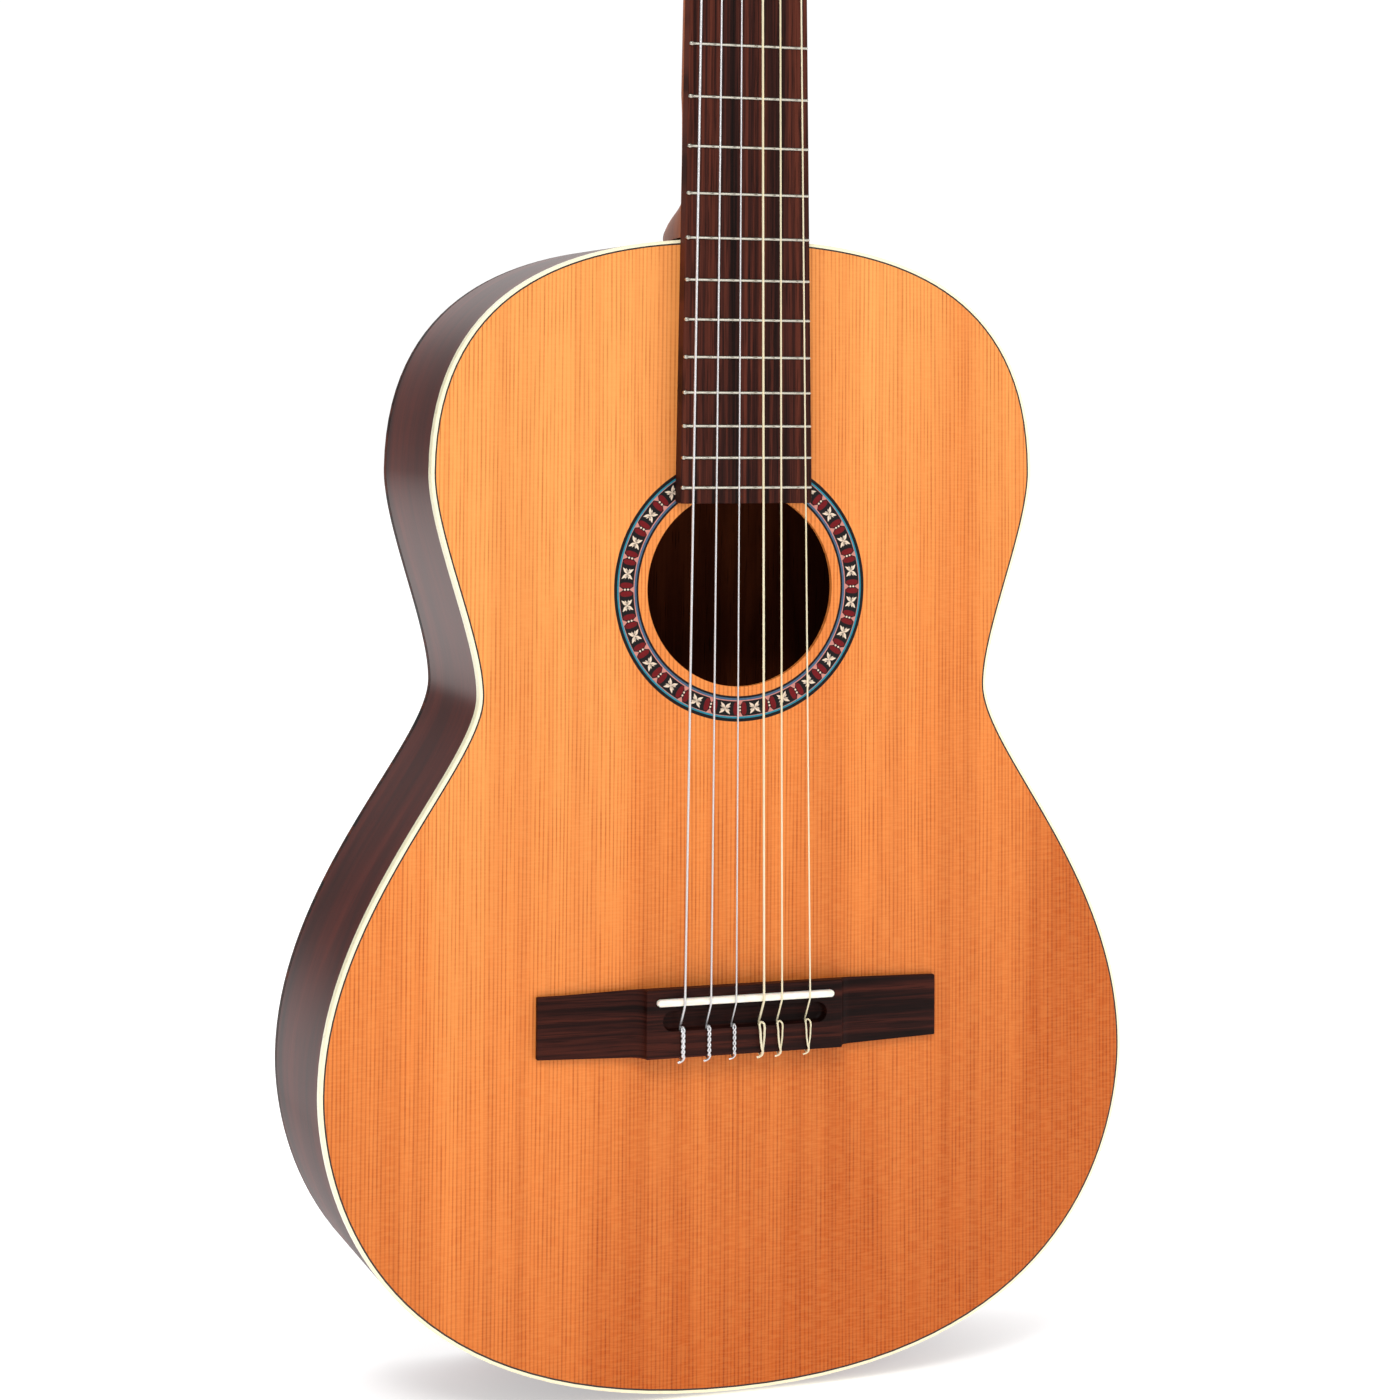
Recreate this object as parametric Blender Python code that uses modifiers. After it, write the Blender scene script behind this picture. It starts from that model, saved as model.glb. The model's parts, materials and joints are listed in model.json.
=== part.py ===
"""Classical guitar: hollow wooden body, slotted headstock with worm tuners, tied bridge and six strings.

Metres, +Z up. The origin is where the centre line, the soundboard's face and the front of the nut meet.
+X is the treble side, the soundboard faces -Y, and the strings run down -Z from the nut.
"""

import math

import bmesh
import bpy
from mathutils import Matrix, Vector

# Driving dimensions
SCALE = 0.650
GAP = 0.0003  # clearance between pieces that touch
INLAY_GAP = 0.00015  # clearance beside thin inlaid strips

# Body outline, outer edge: (half width, z) of its five anchors, and the reach of each tangent handle
BODY_TOP = -0.3248
UPPER_BOUT = (0.1390, -0.4265)
WAIST = (0.1170, -0.5212)
LOWER_BOUT = (0.1836, -0.6835)
BODY_END = -0.8199
OUTLINE_HANDLES = (
    (0.0495, 0.0960),  # top to upper bout
    (0.0260, 0.0240),  # upper bout to waist
    (0.0289, 0.0755),  # waist to lower bout
    (0.0270, 0.1715),  # lower bout to end
)
OUTLINE_STEPS = 8  # straight facets in each of the four stretches

# Body depths and thicknesses
DEPTH_AT_NECK = 0.0840
DEPTH_AT_END = 0.0960
BACK_SWELL = 0.0035  # how far the middle of the back stands out from its edge
SOUNDBOARD_THICK = 0.0026
BACK_THICK = 0.0025
SIDE_THICK = 0.0022
BINDING_WIDE = 0.0014
BINDING_DEEP = 0.0050
LINING_WIDE = 0.0060
LINING_DEEP = 0.0140
SOUNDHOLE_Z = -0.4769
SOUNDHOLE_RADIUS = 0.0427
ROSETTE_INNER = 0.0468
ROSETTE_OUTER = 0.0578
ROSETTE_DEEP = 0.0010
ROUND_STEPS = 48  # sides of the soundhole and the rosette

# Blocks, and the bars and braces glued inside
NECK_BLOCK_HALF_WIDE = 0.0340
NECK_BLOCK_LONG = 0.0280
TAIL_BLOCK_HALF_WIDE = 0.0400
TAIL_BLOCK_LONG = 0.0200
BAR_HALF_WIDE = 0.0040
HARMONIC_BAR_OFF = 0.0660  # from the soundhole's middle to each bar
HARMONIC_BARS = (("harmonic_bar_upper", 1, 0.0170), ("harmonic_bar_lower", -1, 0.0190))
HARMONIC_TAPER = 0.0350
HARMONIC_END_HIGH = 0.0050
FAN_BRACES = 5
FAN_SPREAD = 0.0360
FAN_LEAN = math.radians(5.5)
FAN_LONG = 0.1900
FAN_SHORTER = 0.0120  # each brace is this much shorter than the one nearer the middle
FAN_HALF_WIDE = 0.0030
FAN_HIGH = 0.0045
FAN_BELOW_BRIDGE = 0.0120
BACK_BRACES_Z = (-0.4000, -0.5350, -0.6900)
BACK_BRACE_HIGH = 0.0130
BACK_BRACE_END = 0.0040
BACK_BRACE_TAPER = 0.0300
BACK_CUTS_X = (-0.1350, -0.0900, -0.0450, 0.0, 0.0450, 0.0900, 0.1350)
BACK_CUTS_STEP = 0.0495

# Neck and fingerboard
NUT_WIDTH = 0.0483
WIDTH_AT_12 = 0.0576
BOARD_THICK = 0.0070
BOARD_END = -0.4400
FRETS = 19
FRET_WIDE = 0.0021
FRET_HIGH = 0.0010
NUT_LONG = 0.0048
NECK_STEPS = 8  # facets round the back of the neck
NUT_HIGH = 0.0092
HEEL_START = -0.2620
HEEL_END = 0.0805
HEEL_FLARE_HIGH = 0.0150  # the heel swells sideways over this much of its height above the body
HEEL_FLARE_DEEP = 0.1000
HEEL_FLARE_BLUNT = 1.6
HEEL_FLARE_PINCH = 1.5
HEEL_RISE = 0.0850  # how much deeper than the shaft the heel would get, and how fast that fades upwards
HEEL_FADE = 2.9
HEEL_RINGS = (0.0003, 0.0040, 0.0080, 0.0115, 0.0138, 0.0150, 0.0180, 0.0230, 0.0300, 0.0400, 0.0500, 0.0628)
SHAFT_DEEP_AT_NUT = 0.0148
SHAFT_DEEP_AT_HEEL = 0.0178
SHAFT_RINGS = (-0.2000, -0.1300, -0.0600, -0.0140, 0.0)
SHAFT_THICKER_AT_NUT = 0.0020
SHAFT_BLUNT = 0.9
HEAD_ROOT_RINGS = ((0.0030, 0.0246, 0.50), (0.0080, 0.0256, 0.30), (0.0140, 0.0280, 0.16))
HEEL_CAP_THICK = 0.0030
HEEL_CAP_HALF_WIDE = 0.0088
HEEL_CAP_TIP = -0.3128

# Bridge and saddle
BRIDGE_Z = -0.6608
BRIDGE_HALF_LONG = 0.0912
BRIDGE_BLOCK_HALF = 0.0447
BLOCK_HALF_WIDE = 0.0146
TIP_HALF_WIDE = 0.0131
BLOCK_HIGH = 0.0093
WING_HIGH = 0.0036
TIP_HIGH = 0.0028
COVE = 0.0060
SADDLE_Z = -0.6517
SADDLE_LONG = 0.0806
SADDLE_WIDE = 0.0030
SADDLE_TOP = 0.0116
SADDLE_FOOT = 0.0045
TROUGH_HALF_LONG = 0.0375
TROUGH_Z = -0.6596
TROUGH_WIDE = 0.0088
TROUGH_FLOOR = 0.0040
TIE_HOLE_HIGH = 0.0058
TIE_HOLE_RADIUS = 0.0011

# Strings, from the first (thinnest, treble side) to the sixth
STRING_RADII = (0.00036, 0.00041, 0.00051, 0.00037, 0.00044, 0.00054)
STRING_X_NUT = (0.0205, 0.0123, 0.0041, -0.0041, -0.0123, -0.0205)
STRING_X_SADDLE = (0.0286, 0.0156, 0.0073, -0.0053, -0.0168, -0.0286)
STRING_HIGH_NUT = 0.0087  # underside of every string over the nut, above the soundboard's plane

# Headstock, measured from its face's foot: u runs up the head, v into the wood
HEAD_TILT = math.radians(15)
HEAD_FOOT = Vector((0, -0.0023, 0.0058))
HEAD_HALF_WIDE = 0.0360
HEAD_LONG = 0.1960
HEAD_BACK = 0.0210
VENEER_THICK = 0.0020
SLOT_INNER = 0.0065
SLOT_OUTER = 0.0225
SLOT_FROM = 0.0320
SLOT_TO = 0.1680

# Tuning machines: rollers across the slots, turned by a worm and a 15-tooth gear
ROLLER_U = (0.0760, 0.1110, 0.1460)  # nearest the nut first
ROLLER_V = 0.0105
BARREL_RADIUS = 0.0050
JOURNAL_RADIUS = 0.0030
SPINDLE_RADIUS = 0.0019
BORE_SPARE = 0.0004  # how much wider than its roller each bore is
JOURNAL_BORE_END = 0.0023
SPINDLE_END = 0.0450
STRING_X_BARREL = (0.0175, 0.0150, 0.0115)  # by roller, nearest the nut first
PLATE_INNER = HEAD_HALF_WIDE + GAP
PLATE_THICK = 0.0012
GEAR_X = 0.0418  # middle of the gear and axis of the worm, from the centre line
GEAR_THICK = 0.0034
TEETH = 15
GEAR_PITCH_RADIUS = 0.0063
WORM_PITCH_RADIUS = 0.0032
ADDENDUM = 0.0007
DEDENDUM = 0.00105
WORM_HALF_LONG = 0.0055
THREAD_SIDES = 10  # steps in a turn of the thread
THREAD_STEPS = 16  # steps to each side of its middle
SHAFT_RADIUS = 0.0018
LUG_THICK = 0.0018
LUG_HALF_WIDE = 0.0034
PLATE_V = (0.0025, 0.0205)
PLATE_U = (0.0560, 0.1590)
BUTTON_V = (0.0262, 0.0460)
BUTTON_HALF_WIDE = 0.0078
BUTTON_HALF_THICK = 0.0042
THREAD_LEAD = 2 * math.pi * GEAR_PITCH_RADIUS / TEETH
WORM_OFFSET = GEAR_PITCH_RADIUS + WORM_PITCH_RADIUS  # the worm lies this far below its roller
# String number to (side of the head, roller counted from the nut)
TUNERS = {1: (1, 0), 2: (1, 1), 3: (1, 2), 4: (-1, 2), 5: (-1, 1), 6: (-1, 0)}

# Frames: the three columns are where a drawing's right, up and towards-the-viewer directions go
SIN, COS = math.sin(HEAD_TILT), math.cos(HEAD_TILT)
HEAD_UP = Vector((0, SIN, COS))
HEAD_IN = Vector((0, COS, -SIN))


def frame(right, up, origin=(0, 0, 0)):
    right, up = Vector(right), Vector(up)
    columns = Matrix((right, up, right.cross(up))).transposed().to_4x4()
    return Matrix.Translation(origin) @ columns


FRONT_VIEW = frame((1, 0, 0), (0, 0, 1))  # drawing depth is -Y
SIDE_VIEW = frame((0, 0, 1), (0, -1, 0))  # drawing depth is +X
END_VIEW = frame((1, 0, 0), (0, -1, 0))  # drawing depth is -Z
HEAD_VIEW = frame((1, 0, 0), HEAD_UP, HEAD_FOOT)  # drawing depth is -v


def head_point(x, u, v):
    return HEAD_FOOT + Vector((x, 0, 0)) + u * HEAD_UP + v * HEAD_IN


# Scene, materials and mesh helpers

for old in list(bpy.data.objects):
    bpy.data.objects.remove(old)


def collection(name):
    made = bpy.data.collections.new(name)
    bpy.context.scene.collection.children.link(made)
    return made


GUITAR = collection("classical_guitar")
CUTTERS = collection("cutters")
FINISHES = {
    "cedar": ((0.78, 0.40, 0.16), 0.45, 0.0),
    "spruce": ((0.76, 0.60, 0.38), 0.70, 0.0),
    "mahogany": ((0.12, 0.035, 0.025), 0.35, 0.0),
    "neck_wood": ((0.33, 0.13, 0.055), 0.45, 0.0),
    "rosewood": ((0.075, 0.032, 0.022), 0.50, 0.0),
    "binding": ((0.90, 0.82, 0.58), 0.35, 0.0),
    "mosaic": ((0.25, 0.05, 0.05), 0.40, 0.0),
    "bone": ((0.88, 0.84, 0.74), 0.40, 0.0),
    "nylon": ((0.90, 0.84, 0.66), 0.25, 0.0),
    "wound_silver": ((0.72, 0.72, 0.74), 0.30, 1.0),
    "nickel": ((0.75, 0.74, 0.72), 0.25, 1.0),
    "brass": ((0.80, 0.62, 0.30), 0.30, 1.0),
    "pearl_plastic": ((0.88, 0.85, 0.76), 0.25, 0.0),
}


def make_material(name, colour, roughness, metallic):
    material = bpy.data.materials.new(name)
    material.use_nodes = True
    shader = material.node_tree.nodes["Principled BSDF"]
    shader.inputs["Base Color"].default_value = (*colour, 1)
    shader.inputs["Roughness"].default_value = roughness
    shader.inputs["Metallic"].default_value = metallic
    return material


MATERIALS = {name: make_material(name, *look) for name, look in FINISHES.items()}


def place(name, mesh, finish):
    """A mesh as a named piece of the guitar, or as a cutter when it has no finish."""
    piece = bpy.data.objects.new(name, mesh)
    if finish is None:
        CUTTERS.objects.link(piece)
        piece.hide_render = True
        piece.display_type = "WIRE"
    else:
        GUITAR.objects.link(piece)
        mesh.materials.clear()
        mesh.materials.append(MATERIALS[finish])
    return piece


def solid_from_curve(name, curve, matrix, finish):
    """The solid that a curve makes, as a welded mesh in place."""
    drawn = bpy.data.objects.new(name + "_curve", curve)
    CUTTERS.objects.link(drawn)
    drawn.matrix_world = matrix
    bpy.context.view_layer.update()
    graph = bpy.context.evaluated_depsgraph_get()
    mesh = bpy.data.meshes.new_from_object(drawn.evaluated_get(graph))
    mesh.transform(matrix)
    bpy.data.objects.remove(drawn)
    form = bmesh.new()
    form.from_mesh(mesh)
    bmesh.ops.remove_doubles(form, verts=form.verts, dist=1e-6)
    form.to_mesh(mesh)
    form.free()
    mesh.name = name
    return place(name, mesh, finish)


def prism(name, loops, view, near, far, finish):
    """Flat outlines, the first with the others as holes, extruded between two depths of a drawing."""
    curve = bpy.data.curves.new(name, "CURVE")
    curve.dimensions = "2D"
    curve.fill_mode = "BOTH"
    curve.extrude = abs(far - near) / 2
    for loop in loops:
        spline = curve.splines.new("POLY")
        spline.points.add(len(loop) - 1)
        for point, (across, along) in zip(spline.points, loop):
            point.co = (across, along, 0, 1)
        spline.use_cyclic_u = True
    matrix = view @ Matrix.Translation((0, 0, (near + far) / 2))
    return solid_from_curve(name, curve, matrix, finish)


def tube(name, points, radius, finish):
    curve = bpy.data.curves.new(name, "CURVE")
    curve.dimensions = "3D"
    curve.bevel_depth = radius
    curve.bevel_resolution = 1
    curve.use_fill_caps = True
    spline = curve.splines.new("POLY")
    spline.points.add(len(points) - 1)
    for point, place_at in zip(spline.points, points):
        point.co = (*place_at, 1)
    return solid_from_curve(name, curve, Matrix.Identity(4), finish)


def box(name, low, high, finish):
    form = bmesh.new()
    bmesh.ops.create_cube(form, size=1)
    size = Vector(high) - Vector(low)
    bmesh.ops.scale(form, vec=size, verts=form.verts)
    bmesh.ops.translate(form, vec=(Vector(high) + Vector(low)) / 2, verts=form.verts)
    mesh = bpy.data.meshes.new(name)
    form.to_mesh(mesh)
    form.free()
    return place(name, mesh, finish)


def add_cylinder(form, start, end, radius, sides=12):
    """A cylinder between two points, added to a bmesh."""
    start, end = Vector(start), Vector(end)
    along = end - start
    turn = along.to_track_quat("Z", "Y").to_matrix().to_4x4()
    bmesh.ops.create_cone(
        form,
        cap_ends=True,
        segments=sides,
        radius1=radius,
        radius2=radius,
        depth=along.length,
        matrix=Matrix.Translation((start + end) / 2) @ turn,
    )


def cutter_of(name, form):
    mesh = bpy.data.meshes.new(name)
    form.to_mesh(mesh)
    form.free()
    return place(name, mesh, None)


def combine(piece, other, operation):
    modifier = piece.modifiers.new(operation.lower() + "_" + other.name, "BOOLEAN")
    modifier.operation = operation
    modifier.solver = "EXACT"
    modifier.object = other


# Outlines


def bezier(start, first, second, end, steps):
    """Points along a cubic curve, without its end."""
    found = []
    for k in range(steps):
        t = k / steps
        a, b, c, d = (1 - t) ** 3, 3 * t * (1 - t) ** 2, 3 * t * t * (1 - t), t**3
        found.append(
            tuple(a * p + b * q + c * r + d * s for p, q, r, s in zip(start, first, second, end))
        )
    return found


def half_outline(steps=OUTLINE_STEPS):
    """The treble half of the body's outer edge, from the neck round to the end."""
    top, end = (0, BODY_TOP), (0, BODY_END)
    (t1, t2), (u1, u2), (w1, w2), (l1, l2) = OUTLINE_HANDLES
    upper, waist, lower = UPPER_BOUT, WAIST, LOWER_BOUT
    return (
        bezier(top, (t1, BODY_TOP), (upper[0], upper[1] + t2), upper, steps)
        + bezier(upper, (upper[0], upper[1] - u1), (waist[0], waist[1] + u2), waist, steps)
        + bezier(waist, (waist[0], waist[1] - w1), (lower[0], lower[1] + w2), lower, steps)
        + bezier(lower, (lower[0], lower[1] - l1), (l2, BODY_END), end, steps)
        + [end]
    )


def inset_half(inset):
    """The half outline moved inwards, square to the edge."""
    edge = half_outline()
    moved = []
    for k, (x, z) in enumerate(edge):
        before = edge[k - 1] if k else (-edge[1][0], edge[1][1])
        after = edge[k + 1] if k + 1 < len(edge) else (-edge[k - 1][0], edge[k - 1][1])
        run = Vector((after[0] - before[0], after[1] - before[1])).normalized()
        moved.append((x + run.y * inset, z - run.x * inset))
    moved[0] = (0.0, moved[0][1])
    moved[-1] = (0.0, moved[-1][1])
    return moved


def inset_outline(inset):
    """The whole outline as a closed loop."""
    half = inset_half(inset)
    return half + [(-x, z) for x, z in reversed(half[1:-1])]


def half_width(z, inset=0.0):
    """Half the body's width at a height, inside an edge of this thickness."""
    edge = inset_half(inset)
    for (x0, z0), (x1, z1) in zip(edge, edge[1:]):
        if z1 <= z <= z0:
            return x0 + (x1 - x0) * (z0 - z) / (z0 - z1)
    return 0.0


def back_plane(z):
    """Depth of the back's edge, which grows from the neck to the end."""
    share = (BODY_TOP - z) / (BODY_TOP - BODY_END)
    return DEPTH_AT_NECK + (DEPTH_AT_END - DEPTH_AT_NECK) * share


def arch(x, z):
    """How far the back swells beyond its edge."""
    across = min(1.0, abs(x) / max(half_width(z), 1e-6))
    along = (z - (BODY_TOP + BODY_END) / 2) / ((BODY_TOP - BODY_END) / 2)
    return BACK_SWELL * (1 - across**2) * (1 - along**4)


def circle(radius, centre=(0, 0), steps=ROUND_STEPS):
    turns = [2 * math.pi * k / steps for k in range(steps)]
    return [(centre[0] + radius * math.cos(a), centre[1] + radius * math.sin(a)) for a in turns]


def stadium(half_long, half_wide, z, steps=6):
    """A slot shape with round ends, lying along X."""
    reach = half_long - half_wide
    right = [math.pi * (k / steps - 0.5) for k in range(steps + 1)]
    ends = [(reach + half_wide * math.cos(a), z + half_wide * math.sin(a)) for a in right]
    return ends + [(-x, 2 * z - y) for x, y in ends]


def follow_back(piece, front_below=None, back_below=0.0):
    """Sets a prism's rear face, and its front face if asked, at distances in front of the back's edge."""
    middle = sum(v.co.y for v in piece.data.vertices) / len(piece.data.vertices)
    for vertex in piece.data.vertices:
        if vertex.co.y > middle:
            vertex.co.y = back_plane(vertex.co.z) - back_below
        elif front_below is not None:
            vertex.co.y = back_plane(vertex.co.z) - front_below


# Body


def make_soundboard():
    hole = circle(SOUNDHOLE_RADIUS, (0, SOUNDHOLE_Z))
    edge = inset_outline(BINDING_WIDE + INLAY_GAP)
    board = prism("soundboard", [edge, hole], FRONT_VIEW, -SOUNDBOARD_THICK, 0, "cedar")
    grooves = (ROSETTE_OUTER + INLAY_GAP, ROSETTE_INNER - INLAY_GAP)
    rings = [circle(r, (0, SOUNDHOLE_Z)) for r in grooves]
    groove = prism("rosette_groove", rings, FRONT_VIEW, -ROSETTE_DEEP - GAP, 0.001, None)
    combine(board, groove, "DIFFERENCE")
    rings = [circle(r, (0, SOUNDHOLE_Z)) for r in (ROSETTE_OUTER, ROSETTE_INNER)]
    prism("rosette", rings, FRONT_VIEW, -ROSETTE_DEEP, 0, "mosaic")


def make_bindings():
    """A pale strip let into the front edge of the body and a dark one into the rear edge."""
    ring = [inset_outline(0), inset_outline(BINDING_WIDE)]
    prism("binding_top", ring, FRONT_VIEW, -BINDING_DEEP, 0, "binding")
    rear = prism("binding_back", ring, FRONT_VIEW, -BINDING_DEEP, 0, "rosewood")
    follow_back(rear, front_below=BINDING_DEEP)


def make_sides():
    """Two bent strips that meet on the centre line at the neck and at the end."""
    outer, inner = inset_half(0), inset_half(SIDE_THICK)
    for name, side in (("side_treble", 1), ("side_bass", -1)):
        loop = [(side * max(x, GAP / 2), z) for x, z in outer + inner[::-1]]
        strip = prism(name, [loop], FRONT_VIEW, -DEPTH_AT_NECK, -BINDING_DEEP - GAP, "mahogany")
        follow_back(strip, back_below=BINDING_DEEP + GAP)


def make_linings():
    """Strips of kerfed lining that give the soundboard and the back a glue ledge inside the sides."""
    start = SIDE_THICK + GAP
    ring = [inset_outline(start), inset_outline(start + LINING_WIDE)]
    front = SOUNDBOARD_THICK + GAP
    prism("lining_top", ring, FRONT_VIEW, -front - LINING_DEEP, -front, "spruce")
    rear = prism("lining_back", ring, FRONT_VIEW, -front - LINING_DEEP, -front, "spruce")
    below = BACK_THICK + GAP
    follow_back(rear, front_below=below + LINING_DEEP, back_below=below)


def make_blocks():
    """The neck block and the tail block, shaped to the sides and notched over the linings."""
    cavity = prism("cavity", [inset_outline(SIDE_THICK + GAP)], FRONT_VIEW, -0.13, 0, None)
    ring = [inset_outline(SIDE_THICK), inset_outline(SIDE_THICK + 2 * GAP + LINING_WIDE)]
    front = SOUNDBOARD_THICK + LINING_DEEP + 2 * GAP
    notch_front = prism("notch_front", ring, FRONT_VIEW, -front, 0, None)
    notch_rear = prism("notch_rear", ring, FRONT_VIEW, -front, 0.01, None)
    follow_back(notch_rear, BACK_THICK + LINING_DEEP + 2 * GAP, -0.01)
    for name, half_wide, low, high in (
        ("neck_block", NECK_BLOCK_HALF_WIDE, BODY_TOP - NECK_BLOCK_LONG, BODY_TOP),
        ("tail_block", TAIL_BLOCK_HALF_WIDE, BODY_END, BODY_END + TAIL_BLOCK_LONG),
    ):
        block = box(
            name,
            (-half_wide, SOUNDBOARD_THICK + GAP, low),
            (half_wide, back_plane(low) - BACK_THICK - GAP, high),
            "neck_wood",
        )
        follow_back(block, back_below=BACK_THICK + GAP)
        combine(block, cavity, "INTERSECT")
        combine(block, notch_front, "DIFFERENCE")
        combine(block, notch_rear, "DIFFERENCE")


def make_back():
    """The back plate: one sheet over the whole outline, swelling outwards from its edges."""
    inset = BINDING_WIDE + GAP
    sheet = prism("back", [inset_outline(inset)], FRONT_VIEW, -0.001, 0, "mahogany")
    form = bmesh.new()
    form.from_mesh(sheet.data)
    rear = [f for f in form.faces if f.calc_center_median().y < 1e-4]
    others = [f for f in form.faces if f not in rear]
    bmesh.ops.delete(form, geom=others, context="FACES")
    bmesh.ops.dissolve_limit(form, angle_limit=0.01, verts=form.verts, edges=form.edges)
    cuts = [((1, 0, 0), x) for x in BACK_CUTS_X]
    cuts += [((0, 0, 1), BODY_TOP - BACK_CUTS_STEP * k) for k in range(1, 10)]
    for normal, offset in cuts:
        everything = form.verts[:] + form.edges[:] + form.faces[:]
        at = Vector(normal) * offset
        bmesh.ops.bisect_plane(form, geom=everything, plane_co=at, plane_no=normal, dist=1e-6)
    for vertex in form.verts:
        inside = len([e for e in vertex.link_edges if e.is_boundary]) == 0
        swell = arch(vertex.co.x, vertex.co.z) if inside else 0.0
        vertex.co.y = back_plane(vertex.co.z) + swell
    bmesh.ops.triangulate(form, faces=form.faces)
    bmesh.ops.recalc_face_normals(form, faces=form.faces)
    if sum(f.normal.y for f in form.faces) < 0:
        bmesh.ops.reverse_faces(form, faces=form.faces)
    form.to_mesh(sheet.data)
    form.free()
    shell = sheet.modifiers.new("thickness", "SOLIDIFY")
    shell.thickness = BACK_THICK
    shell.offset = -1


def bar_reach(z):
    """Half the room between the linings for a bar across the body."""
    inset = SIDE_THICK + LINING_WIDE + 3 * GAP
    return min(half_width(z + BAR_HALF_WIDE, inset), half_width(z - BAR_HALF_WIDE, inset))


def bar_across(name, z, drawing):
    """A bar whose drawing, seen from the tail end, is as wide as the body at its place."""
    prism(name, [drawing], END_VIEW, -z - BAR_HALF_WIDE, -z + BAR_HALF_WIDE, "spruce")


def make_harmonic_bars():
    under = SOUNDBOARD_THICK + GAP
    for name, side, high in HARMONIC_BARS:
        z = SOUNDHOLE_Z + side * HARMONIC_BAR_OFF
        reach = bar_reach(z)
        shoulder = reach - HARMONIC_TAPER
        half = [(reach, -under), (reach, -under - HARMONIC_END_HIGH), (shoulder, -under - high)]
        bar_across(name, z, half + [(-x, y) for x, y in reversed(half)])


def make_fan_braces():
    """Light struts behind the bridge that open out like a fan."""
    under = SOUNDBOARD_THICK + GAP
    for k in range(FAN_BRACES):
        from_middle = k - FAN_BRACES // 2
        half_long = (FAN_LONG - FAN_SHORTER * abs(from_middle)) / 2
        low, high = (-FAN_HALF_WIDE, 0, -half_long), (FAN_HALF_WIDE, FAN_HIGH, half_long)
        brace = box(f"fan_brace_{k + 1}", low, high, "spruce")
        brace.location = (from_middle * FAN_SPREAD, under, BRIDGE_Z - FAN_BELOW_BRIDGE)
        brace.rotation_euler = (0, -from_middle * FAN_LEAN, 0)


def make_back_braces():
    """Bars whose glued edge follows the back's arch."""
    for k, z in enumerate(BACK_BRACES_Z):
        reach = bar_reach(z)
        shoulder = reach - BACK_BRACE_TAPER
        deep = back_plane(z) - BACK_THICK - 2 * GAP
        glued = [reach * (j / 4 - 1) for j in range(9)]
        drawing = [(x, -deep - arch(x, z)) for x in glued]
        drawing += [(reach, -deep + BACK_BRACE_END), (shoulder, -deep + BACK_BRACE_HIGH)]
        drawing += [(-shoulder, -deep + BACK_BRACE_HIGH), (-reach, -deep + BACK_BRACE_END)]
        bar_across(f"back_brace_{k + 1}", z, drawing)


# Neck


def board_half_width(z):
    """Half the fingerboard's width, z metres above the nut's front (below it, z is negative)."""
    return (NUT_WIDTH + (WIDTH_AT_12 - NUT_WIDTH) * -z / (SCALE / 2)) / 2


def fret_z(number):
    return -SCALE * (1 - 2 ** (-number / 12))


def head_outline(foot):
    """Flared shoulders, straight sides and a shallow arched crown, as (x, u) points."""
    half = foot + [(0.0262, 0.0100), (0.0300, 0.0185), (0.0345, 0.0270)]
    half += [(HEAD_HALF_WIDE, 0.0380), (HEAD_HALF_WIDE, 0.1760)]
    half += [(0.0340, 0.1840), (0.0250, 0.1905), (0.0130, 0.1945)]
    return half + [(0, HEAD_LONG)] + [(-x, u) for x, u in reversed(half)]


def head_slots():
    middle, half_long = (SLOT_FROM + SLOT_TO) / 2, (SLOT_TO - SLOT_FROM) / 2
    half_wide = (SLOT_OUTER - SLOT_INNER) / 2
    centre = (SLOT_OUTER + SLOT_INNER) / 2
    lying = stadium(half_long, half_wide, 0)
    return [[(side * centre + y, middle + x) for x, y in lying] for side in (1, -1)]


def d_section(wide, deep, blunt, pinch):
    """Half an oval from +X round the back to -X: a low blunt squares it, a high pinch narrows it."""
    found = []
    for k in range(NECK_STEPS + 1):
        turn = math.pi * k / NECK_STEPS
        cos = math.cos(turn)
        x = wide * math.copysign(abs(cos) ** pinch, cos)
        y = deep * math.sin(turn) ** blunt if 0 < k < NECK_STEPS else 0.0
        found.append((x, y))
    return found


def heel_section(above):
    """A V-shaped keel that swells to a fuller one just above the body."""
    wide = board_half_width(BODY_TOP + above)
    long = HEEL_START - BODY_TOP
    deep = SHAFT_DEEP_AT_HEEL + HEEL_RISE * max(0.0, 1 - above / long) ** HEEL_FADE
    fade = min(1.0, max(0.0, (above - HEEL_FLARE_HIGH) / (long - HEEL_FLARE_HIGH)))
    keel = d_section(wide, deep, 2 - (2 - SHAFT_BLUNT) * fade, 2 - fade)
    full = d_section(wide, HEEL_FLARE_DEEP, HEEL_FLARE_BLUNT, HEEL_FLARE_PINCH)
    flare = math.sqrt(max(0.0, 1 - (above / HEEL_FLARE_HIGH) ** 2))
    return [(x + (a - x) * flare, y + (b - y) * flare) for (x, y), (a, b) in zip(keel, full)]


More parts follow.
